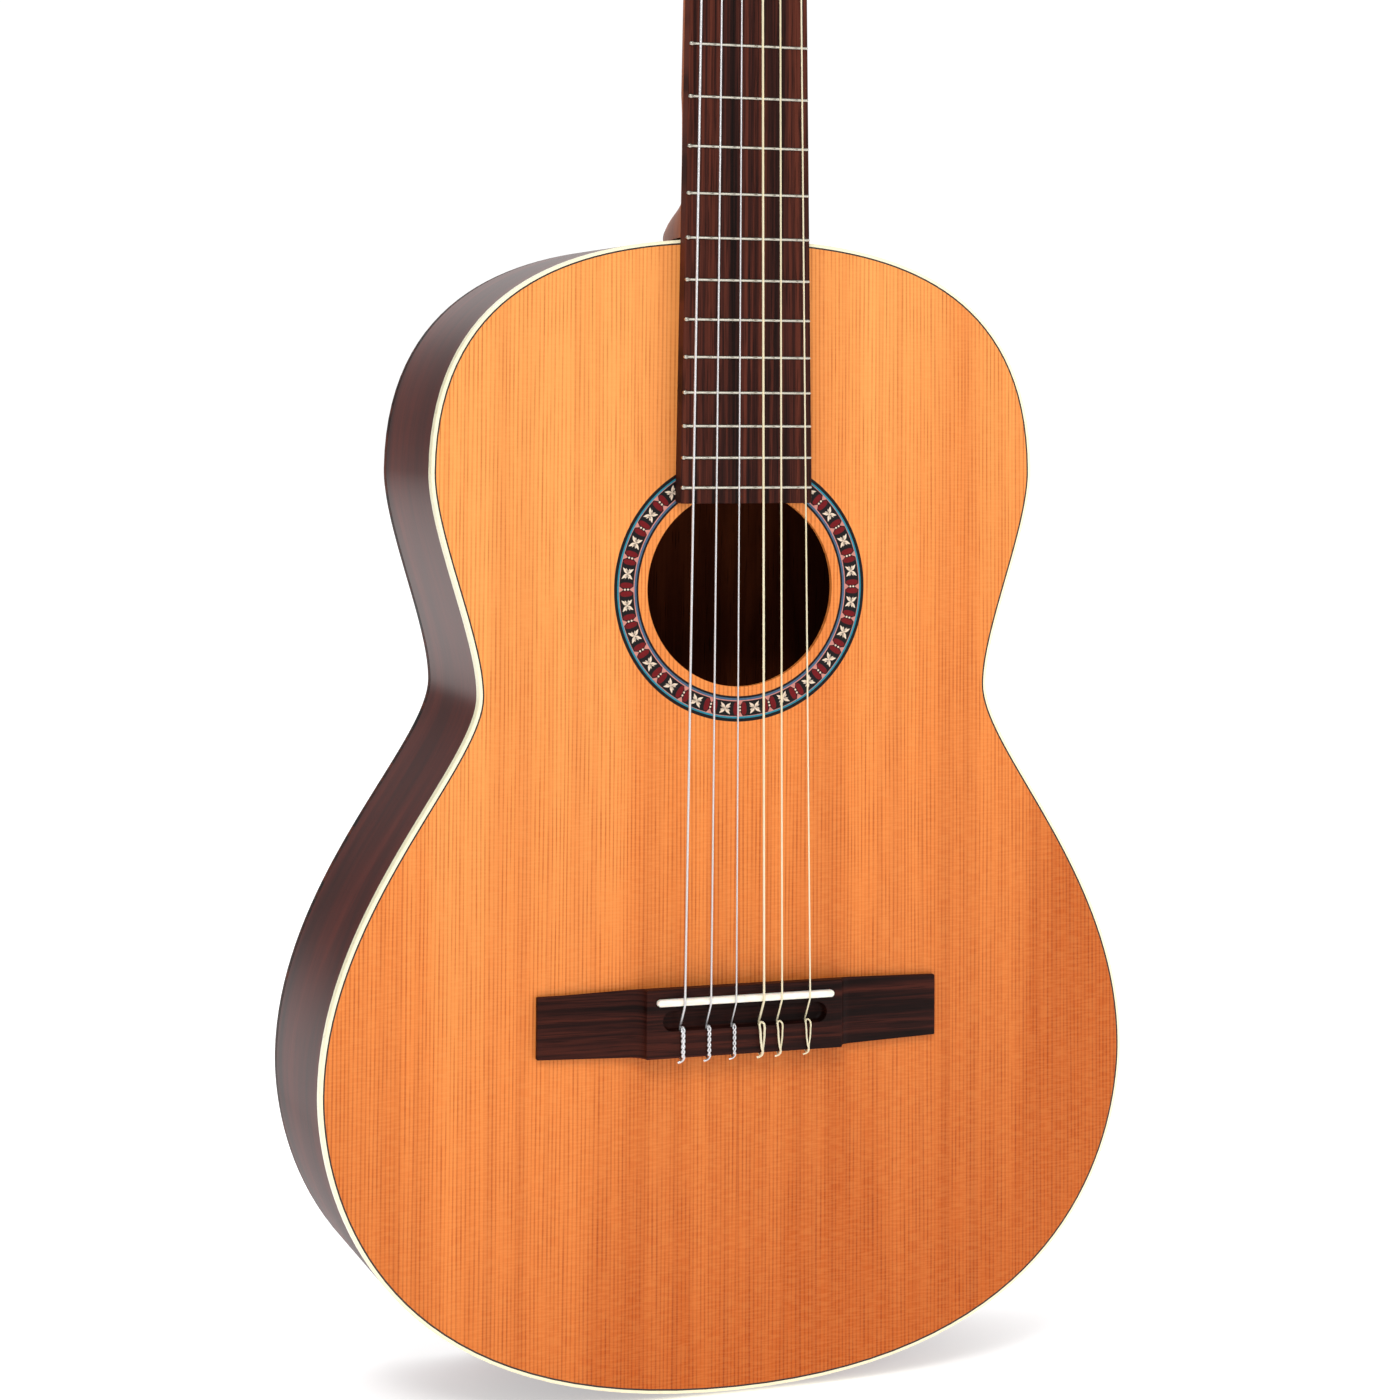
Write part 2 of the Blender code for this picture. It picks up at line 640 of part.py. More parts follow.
def neck_rings():
    """Level rings up the heel and the shaft, then rings square to the head's face."""
    rings = []
    for above in HEEL_RINGS:
        rings.append([Vector((x, y, BODY_TOP + above)) for x, y in heel_section(above)])
    for z in SHAFT_RINGS:
        deep = SHAFT_DEEP_AT_NUT + (SHAFT_DEEP_AT_HEEL - SHAFT_DEEP_AT_NUT) * z / HEEL_START
        if z == 0:
            deep += SHAFT_THICKER_AT_NUT
        section = d_section(board_half_width(z), deep, SHAFT_BLUNT, 1.0)
        rings.append([Vector((x, y, z)) for x, y in section])
    face = VENEER_THICK + GAP
    for u, wide, blunt in HEAD_ROOT_RINGS:
        section = d_section(wide, HEAD_BACK - face, blunt, 1.0 - 0.6 * u / HEAD_ROOT_RINGS[-1][0])
        rings.append([head_point(x, u, face + y) for x, y in section])
    return rings


def lofted(name, rings, finish):
    """A closed body through rings of equally many points."""
    form = bmesh.new()
    made = [[form.verts.new(point) for point in ring] for ring in rings]
    count = len(rings[0])
    for low, high in zip(made, made[1:]):
        for k in range(count):
            after = (k + 1) % count
            form.faces.new((low[k], low[after], high[after], high[k]))
    form.faces.new(made[0])
    form.faces.new(made[-1])
    bmesh.ops.recalc_face_normals(form, faces=form.faces)
    mesh = bpy.data.meshes.new(name)
    form.to_mesh(mesh)
    form.free()
    return place(name, mesh, finish)


def make_neck():
    """Shaft and heel lofted through D-shaped sections, joined to the slotted head."""
    neck = lofted("neck", neck_rings(), "neck_wood")
    front = -VENEER_THICK - GAP
    plate = prism("head_plate", [head_outline([])] + head_slots(), HEAD_VIEW, -HEAD_BACK, front, None)
    combine(neck, plate, "UNION")
    flat = box("heel_flat", (-0.05, HEEL_END, BODY_TOP - 0.01), (0.05, 0.2, HEEL_START), None)
    combine(neck, flat, "DIFFERENCE")
    bores = bmesh.new()
    for side in (1, -1):
        for u in ROLLER_U:
            edge = head_point(side * (HEAD_HALF_WIDE + 0.001), u, ROLLER_V)
            slot = head_point(side * (SLOT_OUTER - 0.001), u, ROLLER_V)
            add_cylinder(bores, edge, slot, BARREL_RADIUS + BORE_SPARE)
            rail = head_point(side * (SLOT_INNER + 0.001), u, ROLLER_V)
            end = head_point(side * JOURNAL_BORE_END, u, ROLLER_V)
            add_cylinder(bores, rail, end, JOURNAL_RADIUS + BORE_SPARE)
    combine(neck, cutter_of("roller_bores", bores), "DIFFERENCE")


def make_neck_trim():
    outline = head_outline([(board_half_width(0), 0.0)])
    prism("head_veneer", [outline] + head_slots(), HEAD_VIEW, -VENEER_THICK, 0, "rosewood")
    low, reach = BODY_TOP + GAP, HEEL_CAP_TIP - 0.008 - BODY_TOP
    half = [(HEEL_CAP_HALF_WIDE, low), (HEEL_CAP_HALF_WIDE, low + reach)]
    for k in range(1, 4):
        turn = math.pi / 2 * k / 4
        half.append((HEEL_CAP_HALF_WIDE * math.cos(turn), low + reach + 0.008 * math.sin(turn)))
    cap = half + [(0, HEEL_CAP_TIP)] + [(-x, z) for x, z in reversed(half)]
    near = -HEEL_END - GAP - HEEL_CAP_THICK
    prism("heel_cap", [cap], FRONT_VIEW, near, -HEEL_END - GAP, "rosewood")


def make_fingerboard():
    """The board and its 19 frets, drawn from the side and then tapered to the neck's width."""
    drawing = [(BOARD_END, GAP), (BOARD_END, BOARD_THICK)]
    half, crown = FRET_WIDE / 2, BOARD_THICK + FRET_HIGH
    for number in range(FRETS, 0, -1):
        z = fret_z(number)
        drawing += [(z - half, BOARD_THICK), (z - half / 2, crown)]
        drawing += [(z + half / 2, crown), (z + half, BOARD_THICK)]
    drawing += [(-GAP, BOARD_THICK), (-GAP, GAP)]
    board = prism("fingerboard", [drawing], SIDE_VIEW, -0.02, 0.02, "rosewood")
    for vertex in board.data.vertices:
        vertex.co.x = math.copysign(board_half_width(vertex.co.z), vertex.co.x)


def make_nut():
    nut = box("nut", (-NUT_WIDTH / 2, -NUT_HIGH, 0), (NUT_WIDTH / 2, -GAP, NUT_LONG), "bone")
    slots = bmesh.new()
    for x, radius in zip(STRING_X_NUT, STRING_RADII):
        deep = Vector((x, -STRING_HIGH_NUT - 0.002 + GAP, NUT_LONG / 2))
        made = bmesh.ops.create_cube(slots, size=1)["verts"]
        bmesh.ops.scale(slots, vec=(2 * radius + 2 * GAP, 0.004, 0.01), verts=made)
        bmesh.ops.translate(slots, vec=deep, verts=made)
    combine(nut, cutter_of("nut_slots", slots), "DIFFERENCE")


# Bridge and strings


def make_bridge():
    """A block with thin wings, a slot for the saddle, a trough behind it, and a drilled tie block."""
    half = [(BRIDGE_HALF_LONG, GAP), (BRIDGE_HALF_LONG, TIP_HIGH)]
    half.append((BRIDGE_BLOCK_HALF + COVE, WING_HIGH))
    rise = BLOCK_HIGH - WING_HIGH
    for k in range(1, 5):
        turn = math.pi / 2 * k / 4
        x = BRIDGE_BLOCK_HALF + COVE * (1 - math.sin(turn))
        half.append((x, WING_HIGH + rise * (1 - math.cos(turn))))
    drawing = half + [(-x, y) for x, y in reversed(half)]
    near, far = -BRIDGE_Z - BLOCK_HALF_WIDE, -BRIDGE_Z + BLOCK_HALF_WIDE
    bridge = prism("bridge", [drawing], END_VIEW, near, far, "rosewood")
    for vertex in bridge.data.vertices:
        beyond = max(0.0, abs(vertex.co.x) - BRIDGE_BLOCK_HALF)
        share = beyond / (BRIDGE_HALF_LONG - BRIDGE_BLOCK_HALF)
        wide = BLOCK_HALF_WIDE + (TIP_HALF_WIDE - BLOCK_HALF_WIDE) * share
        vertex.co.z = BRIDGE_Z + math.copysign(wide, vertex.co.z - BRIDGE_Z)
    slot = stadium(SADDLE_LONG / 2 + GAP, SADDLE_WIDE / 2 + GAP, SADDLE_Z)
    combine(bridge, prism("saddle_slot", [slot], FRONT_VIEW, SADDLE_FOOT, 0.02, None), "DIFFERENCE")
    trough = stadium(TROUGH_HALF_LONG, TROUGH_WIDE / 2, TROUGH_Z)
    combine(bridge, prism("trough", [trough], FRONT_VIEW, TROUGH_FLOOR, 0.02, None), "DIFFERENCE")
    holes = bmesh.new()
    for x in STRING_X_SADDLE:
        mouth = (x, -TIE_HOLE_HIGH, TROUGH_Z)
        add_cylinder(holes, mouth, (x, -TIE_HOLE_HIGH, BRIDGE_Z - 0.02), TIE_HOLE_RADIUS, 8)
    combine(bridge, cutter_of("tie_holes", holes), "DIFFERENCE")
    foot = SADDLE_FOOT + GAP
    outline = stadium(SADDLE_LONG / 2, SADDLE_WIDE / 2, SADDLE_Z)
    prism("saddle", [outline], FRONT_VIEW, foot, SADDLE_TOP, "bone")


def string_path(number):
    """From behind the tie block, over the saddle and the nut, to the front of the roller's barrel."""
    radius = STRING_RADII[number - 1]
    x_saddle, x_nut = STRING_X_SADDLE[number - 1], STRING_X_NUT[number - 1]
    side, place_on_side = TUNERS[number]
    over_saddle = -(SADDLE_TOP + GAP + radius)
    over_nut = -(STRING_HIGH_NUT + radius)
    behind = SADDLE_Z - SADDLE_WIDE / 2 - GAP
    barrel = head_point(
        side * STRING_X_BARREL[place_on_side],
        ROLLER_U[place_on_side],
        ROLLER_V - BARREL_RADIUS - GAP - radius,
    )
    return [
        Vector((x_saddle, -TIE_HOLE_HIGH, BRIDGE_Z - BLOCK_HALF_WIDE - 0.0015)),
        Vector((x_saddle, -TIE_HOLE_HIGH, TROUGH_Z - TROUGH_WIDE / 2 + 0.001)),
        Vector((x_saddle, over_saddle, behind)),
        Vector((x_saddle, over_saddle, SADDLE_Z + SADDLE_WIDE / 2)),
        Vector((x_nut, over_nut, 0)),
        Vector((x_nut, over_nut, NUT_LONG)),
        barrel,
    ]


def make_strings():
    for number in range(1, 7):
        finish = "nylon" if number <= 3 else "wound_silver"
        tube(f"string_{number}", string_path(number), STRING_RADII[number - 1], finish)


# Tuning machines


def turned(name, start, axis, profile, finish, sides=12):
    """A lathe shape: (distance along the axis, radius) pairs from one end to the other, swept round."""
    ends = [(0, profile[0][0]), (0, profile[-1][0])]
    section = ends[:1] + [(radius, reach) for reach, radius in profile] + ends[1:]
    mesh = bpy.data.meshes.new(name)
    edges = [(k, k + 1) for k in range(len(section) - 1)]
    mesh.from_pydata([(across, 0, along) for across, along in section], edges, [])
    piece = place(name, mesh, finish)
    piece.location = start
    piece.rotation_mode = "QUATERNION"
    piece.rotation_quaternion = Vector(axis).to_track_quat("Z", "Y")
    sweep = piece.modifiers.new("sweep", "SCREW")
    sweep.steps = sides
    sweep.render_steps = sides
    sweep.use_merge_vertices = True
    sweep.merge_threshold = 1e-5
    sweep.use_normal_flip = True
    return piece


def set_origin(piece, point):
    piece.data.transform(Matrix.Translation(-point))
    piece.location = point


def make_plate(name, side):
    """A side plate with three pairs of lugs that carry the worms."""
    low, high = PLATE_INNER, PLATE_INNER + PLATE_THICK
    view = frame(HEAD_IN, HEAD_UP, HEAD_FOOT)  # drawing depth is +X
    (v0, v1), (u0, u1) = PLATE_V, PLATE_U
    corners = [(v0, u0), (v1, u0), (v1, u1), (v0, u1)]
    holes = [circle(SPINDLE_RADIUS + GAP, (ROLLER_V, u), 12) for u in ROLLER_U]
    plate = prism(name, [corners] + holes, view, side * low, side * high, "nickel")
    for k, u in enumerate(ROLLER_U):
        worm_u = u - WORM_OFFSET
        for near in (-1, 1):
            v = ROLLER_V + near * (WORM_HALF_LONG + GAP + LUG_THICK / 2)
            v0, v1 = v - LUG_THICK / 2, v + LUG_THICK / 2
            u0, u1 = worm_u - LUG_HALF_WIDE, worm_u + LUG_HALF_WIDE
            corners = [(v0, u0), (v1, u0), (v1, u1), (v0, u1)]
            root, top = side * (low + 0.0004), side * (GEAR_X + LUG_HALF_WIDE)
            lug = prism(f"{name}_lug_{k}_{near}", [corners], view, root, top, None)
            combine(plate, lug, "UNION")
    bores = bmesh.new()
    for u in ROLLER_U:
        axis = [head_point(side * GEAR_X, u - WORM_OFFSET, v) for v in (0.0, 0.03)]
        add_cylinder(bores, axis[0], axis[1], SHAFT_RADIUS + GAP)
    combine(plate, cutter_of(name + "_bores", bores), "DIFFERENCE")


def make_roller(number, side, u):
    start = head_point(0, u, ROLLER_V)
    profile = [
        (0.0027, JOURNAL_RADIUS),
        (SLOT_INNER + 0.0004, JOURNAL_RADIUS),
        (SLOT_INNER + 0.0004, BARREL_RADIUS),
        (HEAD_HALF_WIDE - 0.0005, BARREL_RADIUS),
        (HEAD_HALF_WIDE - 0.0005, SPINDLE_RADIUS),
        (SPINDLE_END, SPINDLE_RADIUS),
    ]
    turned(f"roller_{number}", start, (side, 0, 0), profile, "bone")


def make_gear(number, side, u):
    """A 15-tooth wheel whose teeth lean with the worm's thread, and whose gap faces the worm at rest."""
    view = frame(HEAD_IN, HEAD_UP, head_point(side * GEAR_X, u, ROLLER_V))
    tip, root = GEAR_PITCH_RADIUS + ADDENDUM, GEAR_PITCH_RADIUS - DEDENDUM
    outline = []
    for k in range(TEETH):
        middle = -math.pi / 2 + 2 * math.pi * (k + 0.5) / TEETH
        for radius, half in ((root, -0.00085), (tip, -0.00027), (tip, 0.00027), (root, 0.00085)):
            turn = middle + half / radius
            outline.append((radius * math.cos(turn), radius * math.sin(turn)))
    bore = circle(SPINDLE_RADIUS + GAP, (0, 0), 12)
    gear = prism(f"gear_{number}", [outline, bore], view, -GEAR_THICK / 2, GEAR_THICK / 2, "brass")
    set_origin(gear, head_point(side * GEAR_X, u, ROLLER_V))
    lean = THREAD_LEAD / (2 * math.pi * WORM_PITCH_RADIUS)
    for vertex in gear.data.vertices:
        turn = lean * vertex.co.x / GEAR_PITCH_RADIUS
        vertex.co = Matrix.Rotation(turn, 3, "X") @ vertex.co


def make_worm(number, centre):
    """A right-handed single thread on a plain shaft."""
    core = WORM_PITCH_RADIUS - DEDENDUM
    profile = [
        (-WORM_HALF_LONG - 0.0025, SHAFT_RADIUS),
        (-WORM_HALF_LONG, SHAFT_RADIUS),
        (-WORM_HALF_LONG, core),
        (WORM_HALF_LONG, core),
        (WORM_HALF_LONG, SHAFT_RADIUS),
        (BUTTON_V[0] + 0.0070 - ROLLER_V, SHAFT_RADIUS),
    ]
    worm = turned(f"worm_{number}", centre, HEAD_IN, profile, "nickel")
    section = [(core - 0.0005, -0.00075), (core + ADDENDUM + DEDENDUM, -0.0003)]
    section += [(core + ADDENDUM + DEDENDUM, 0.0003), (core - 0.0005, 0.00075)]
    rings = []
    for k in range(-THREAD_STEPS, THREAD_STEPS + 1):
        turn = 2 * math.pi * k / THREAD_SIDES
        out = HEAD_UP * math.cos(turn) + Vector((1, 0, 0)) * math.sin(turn)
        climb = THREAD_LEAD * turn / (2 * math.pi)
        rings.append([centre + out * radius + HEAD_IN * (climb + off) for radius, off in section])
    combine(worm, lofted(f"thread_{number}", rings, None), "UNION")


def make_button(number, centre):
    """A flattened oval grip with a blind hole for the worm's shaft."""
    form = bmesh.new()
    bmesh.ops.create_uvsphere(form, u_segments=12, v_segments=8, radius=1)
    half_long = (BUTTON_V[1] - BUTTON_V[0]) / 2
    bmesh.ops.scale(form, vec=(BUTTON_HALF_THICK, BUTTON_HALF_WIDE, half_long), verts=form.verts)
    mesh = bpy.data.meshes.new(f"button_{number}")
    form.to_mesh(mesh)
    form.free()
    out = centre + HEAD_IN * (BUTTON_V[0] + half_long - ROLLER_V)
    mesh.transform(frame((1, 0, 0), -HEAD_UP, out))
    button = place(f"button_{number}", mesh, "pearl_plastic")
    bore = bmesh.new()
    start = centre + HEAD_IN * (BUTTON_V[0] - 0.004 - ROLLER_V)
    end = centre + HEAD_IN * (BUTTON_V[0] + 0.0070 + GAP - ROLLER_V)
    add_cylinder(bore, start, end, SHAFT_RADIUS + GAP)
    combine(button, cutter_of(f"button_bore_{number}", bore), "DIFFERENCE")
    set_origin(button, centre)


def make_tuners():
    make_plate("tuner_plate_treble", 1)
    make_plate("tuner_plate_bass", -1)
    for number, (side, place_on_side) in TUNERS.items():
        u = ROLLER_U[place_on_side]
        make_roller(number, side, u)
        make_gear(number, side, u)
        centre = head_point(side * GEAR_X, u - WORM_OFFSET, ROLLER_V)
        make_worm(number, centre)
        make_button(number, centre)


def smooth_round_pieces():
    for piece in GUITAR.objects:
        if piece.name.startswith(("string", "roller", "button", "neck", "worm", "back")):
            piece.data.shade_smooth()
            piece.data.set_sharp_from_angle(angle=math.radians(40))


make_soundboard()
make_bindings()
make_sides()
make_linings()
make_blocks()
make_back()
make_harmonic_bars()
make_fan_braces()
make_back_braces()
make_neck()
make_neck_trim()
make_fingerboard()
make_nut()
make_bridge()
make_strings()
make_tuners()
smooth_round_pieces()
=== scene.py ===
"""Classical guitar: the visible pieces, materials, light and camera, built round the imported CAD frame.

The frame is in metres: +X towards the treble side, -Y out of the soundboard, +Z up the neck, with the
origin where the centre line meets the front of the nut in the soundboard's plane.
"""

import json
import math

import bmesh
import bpy
from mathutils import Matrix, Vector


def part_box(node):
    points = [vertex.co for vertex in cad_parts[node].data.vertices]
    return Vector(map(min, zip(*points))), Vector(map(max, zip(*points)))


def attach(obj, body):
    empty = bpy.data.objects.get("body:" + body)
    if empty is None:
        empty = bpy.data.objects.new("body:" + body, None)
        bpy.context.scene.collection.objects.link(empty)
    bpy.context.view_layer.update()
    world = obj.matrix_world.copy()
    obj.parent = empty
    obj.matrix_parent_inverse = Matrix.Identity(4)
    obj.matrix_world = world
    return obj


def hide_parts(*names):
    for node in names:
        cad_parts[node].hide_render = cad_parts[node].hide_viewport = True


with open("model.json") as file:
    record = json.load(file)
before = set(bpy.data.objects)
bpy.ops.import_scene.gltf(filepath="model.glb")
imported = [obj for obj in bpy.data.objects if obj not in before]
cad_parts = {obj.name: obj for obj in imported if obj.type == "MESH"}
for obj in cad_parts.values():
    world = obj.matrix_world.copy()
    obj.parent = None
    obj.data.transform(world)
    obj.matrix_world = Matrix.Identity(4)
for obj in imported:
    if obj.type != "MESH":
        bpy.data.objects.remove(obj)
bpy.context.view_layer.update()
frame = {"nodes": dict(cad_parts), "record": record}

# Places read from the frame
BODY_LOW, BODY_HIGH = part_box("binding_top")
ROSETTE_LOW, ROSETTE_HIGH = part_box("rosette")
NUT_LOW, NUT_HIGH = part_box("nut")
BOARD_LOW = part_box("fingerboard")[0]
BRIDGE_LOW, BRIDGE_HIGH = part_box("bridge")
SADDLE_LOW, SADDLE_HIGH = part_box("saddle")
CAP_LOW, CAP_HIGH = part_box("heel_cap")
BACK_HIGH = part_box("binding_back")[1]
JOINTS = {joint["name"]: joint for joint in frame["record"]["behaviour"]["joints"]}

# The body's outline: anchors as shares of its half width and length, handles as shares of its length
BODY_HALF = BODY_HIGH.x
BODY_TOP = BODY_HIGH.z
BODY_LONG = BODY_HIGH.z - BODY_LOW.z
UPPER_BOUT = (0.7571, 0.2054)
WAIST = (0.6373, 0.3967)
LOWER_BOUT = (1.0, 0.7245)
OUTLINE_HANDLES = ((0.1000, 0.1939), (0.0525, 0.0485), (0.0584, 0.1525), (0.0545, 0.3464))
OUTLINE_STEPS = 36

# Thicknesses and clearances of the visible shells
BINDING_WIDE = 0.0014
BINDING_DEEP = 0.0050
PURFLING_WIDE = 0.0007
SIDE_LINE_WIDE = 0.0006
RING_TURNS = 2 * math.pi / 0.0018  # one dark line of the cedar's grain every 1.8 mm
SOUNDBOARD_THICK = 0.0026
SIDE_THICK = 0.0022
BACK_THICK = 0.0025
BACK_SWELL = 0.0035
SEAM = 0.0001
DEPTH_AT_NECK = 0.0840
DEPTH_AT_END = BACK_HIGH.y

# Soundhole and rosette
HOLE_Z = (ROSETTE_LOW.z + ROSETTE_HIGH.z) / 2
HOLE_RADIUS = 0.0427
ROSETTE_OUTER = ROSETTE_HIGH.x
ROSETTE_INNER = 0.0468
ROSETTE_DEEP = 0.0010
ROSETTE_REPEATS = 24

# Neck, fingerboard and frets
SCALE = 0.650
NUT_WIDTH = NUT_HIGH.x - NUT_LOW.x
WIDTH_AT_12 = 0.0576
BOARD_TOP = 0.0070
FRETS = 19
FRET_CROWN = 0.0007  # half the crown's width
BEAD = 0.0011  # radius of a fret's rounded end
FRET_HIGH = 0.0010
HEEL_START = -0.2620
HEEL_END = CAP_LOW.y - 0.0003
HEEL_FLARE_HIGH = 0.0150
HEEL_FLARE_DEEP = 0.1000
HEEL_FLARE_BLUNT = 1.6
HEEL_FLARE_PINCH = 1.5
HEEL_RISE = 0.0850  # how much deeper than the shaft the heel would get, and how fast that fades upwards
HEEL_FADE = 2.9
SHAFT_DEEP_AT_NUT = 0.0148
SHAFT_DEEP_AT_HEEL = 0.0178
SHAFT_THICKER_AT_NUT = 0.0020
SHAFT_BLUNT = 0.9

# Head, in its own frame: u runs up its face and v into the wood
ROLLER_V = 0.0105
ROLLER_1_U = 0.0760
ROLLER_STEP = 0.0350
HEAD_IN = Vector(JOINTS["tuner_button_1_turn"]["axis"]).normalized()
HEAD_UP = HEAD_IN.cross(Vector((-1, 0, 0)))
GEAR_X = JOINTS["roller_1_turn"]["pos_m"][0]
ROLLER_1 = Vector(JOINTS["roller_1_turn"]["pos_m"])
HEAD_FOOT = ROLLER_1 - Vector((GEAR_X, 0, 0)) - ROLLER_1_U * HEAD_UP - ROLLER_V * HEAD_IN
HEAD_HALF_WIDE = 0.0360
HEAD_LONG = 0.1960
HEAD_BACK = 0.0210
VENEER_THICK = 0.0020
SLOT_INNER = 0.0065
SLOT_OUTER = 0.0225
SLOT_FROM = 0.0320
SLOT_TO = 0.1680
TUNERS = {1: (1, 0), 2: (1, 1), 3: (1, 2), 4: (-1, 2), 5: (-1, 1), 6: (-1, 0)}

# Tuning machines
BARREL_RADIUS = 0.0050
JOURNAL_RADIUS = 0.0030
SPINDLE_RADIUS = 0.0019
PLATE_INNER = 0.0363
PLATE_THICK = 0.0012
PLATE_V = (0.0025, 0.0205)
PLATE_U = (0.0560, 0.1590)
WORM_OFFSET = 0.0095
WORM_CORE = 0.00215
WORM_CREST = 0.0039
WORM_HALF_LONG = 0.0055
WORM_LEAD = 2 * math.pi * 0.0063 / 15
SHAFT_RADIUS = 0.0018
LUG_THICK = 0.0018
LUG_RADIUS = 0.0034
BORE_END = 0.0023  # how near the head's centre line a roller's bore comes
JOURNAL_END = 0.0027
SPINDLE_END = 0.0437
GEAR_SCREW_X = 0.0434
BUTTON_V = (0.0262, 0.0460)

# Bridge, saddle and strings
BRIDGE_Z = (BRIDGE_LOW.z + BRIDGE_HIGH.z) / 2
BRIDGE_HALF_LONG = BRIDGE_HIGH.x
BRIDGE_BLOCK_HALF = 0.0447
BLOCK_HALF_WIDE = (BRIDGE_HIGH.z - BRIDGE_LOW.z) / 2
TIP_HALF_WIDE = 0.0131
BLOCK_HIGH = -BRIDGE_LOW.y
WING_HIGH = 0.0036
TIP_HIGH = 0.0028
COVE = 0.0060
SADDLE_Z = (SADDLE_LOW.z + SADDLE_HIGH.z) / 2
SADDLE_TOP = -SADDLE_LOW.y
TROUGH_Z = -0.6596
TROUGH_WIDE = 0.0088
TROUGH_HALF_LONG = 0.0375
TROUGH_FLOOR = 0.0040
TIE_HOLE_HIGH = 0.0058
TIE_HOLE_RADIUS = 0.0011
STRING_RADII = (0.00036, 0.00041, 0.00051, 0.00037, 0.00044, 0.00054)
STRING_X_NUT = (0.0205, 0.0123, 0.0041, -0.0041, -0.0123, -0.0205)
STRING_X_SADDLE = (0.0286, 0.0156, 0.0073, -0.0053, -0.0168, -0.0286)
STRING_X_BARREL = (0.0175, 0.0150, 0.0115)
STRING_HIGH_NUT = 0.0087
STRING_GAP = 0.0001

# Light
SKY = 1.05
FRONT_SHARE = 0.6  # how bright the sky in front of the guitar is beside the sky behind it
WARM_GLOSS = (1.0, 0.55, 0.46)
GLOSS_FADES = (-0.70, -0.52)  # heights between which the sides' lacquer grows from dull to bright
SKY_DARK = 0.12
DARK_TOWARDS = (-0.55, 0.83, 0.05)
DARK_FROM = 0.80  # cosine of the angle from the dark direction at which the sky starts to darken
DARK_FULL = 0.95
FLOOR_GLOW = 0.45
KEY_POWER = 30
FILL_POWER = 11
LIT_AT = Vector((0, 0, -0.45))
FLOOR_HALF = 14.0
FLOOR_GREY_FROM = 0.325  # how far to the left of the guitar the floor starts to turn grey
FLOOR_GREY_LEAN = 0.105  # how much farther left that line lies for each metre behind the guitar
FRONT_FROM, FRONT_TO = -0.35, 0.25  # the direction's y over which the front's sky turns into the rear's

# Camera
CAMERA_AT = (-0.4649, -1.2773, -0.3964)
CAMERA_RIGHT = Vector((0.9439, -0.3301, 0.0060))
CAMERA_UP = Vector((-0.0232, -0.0484, 0.9986))
CAMERA_LENS = 79.9
CAMERA_SHIFT = (-0.0015, -0.331)


def axes(right, up, origin=(0, 0, 0)):
    """A matrix whose columns are where a drawing's right, up and towards-the-viewer directions go."""
    right, up = Vector(right), Vector(up)
    columns = Matrix((right, up, right.cross(up))).transposed().to_4x4()
    return Matrix.Translation(origin) @ columns


FRONT_VIEW = axes((1, 0, 0), (0, 0, 1))
END_VIEW = axes((1, 0, 0), (0, -1, 0))
HEAD_VIEW = axes((1, 0, 0), HEAD_UP, HEAD_FOOT)


def roller_u(place_on_side):
    """How far up the head a roller is: 0 is the one nearest the nut."""
    return ROLLER_1_U + ROLLER_STEP * place_on_side


def head_point(x, u, v):
    return HEAD_FOOT + Vector((x, 0, 0)) + u * HEAD_UP + v * HEAD_IN


# Node materials


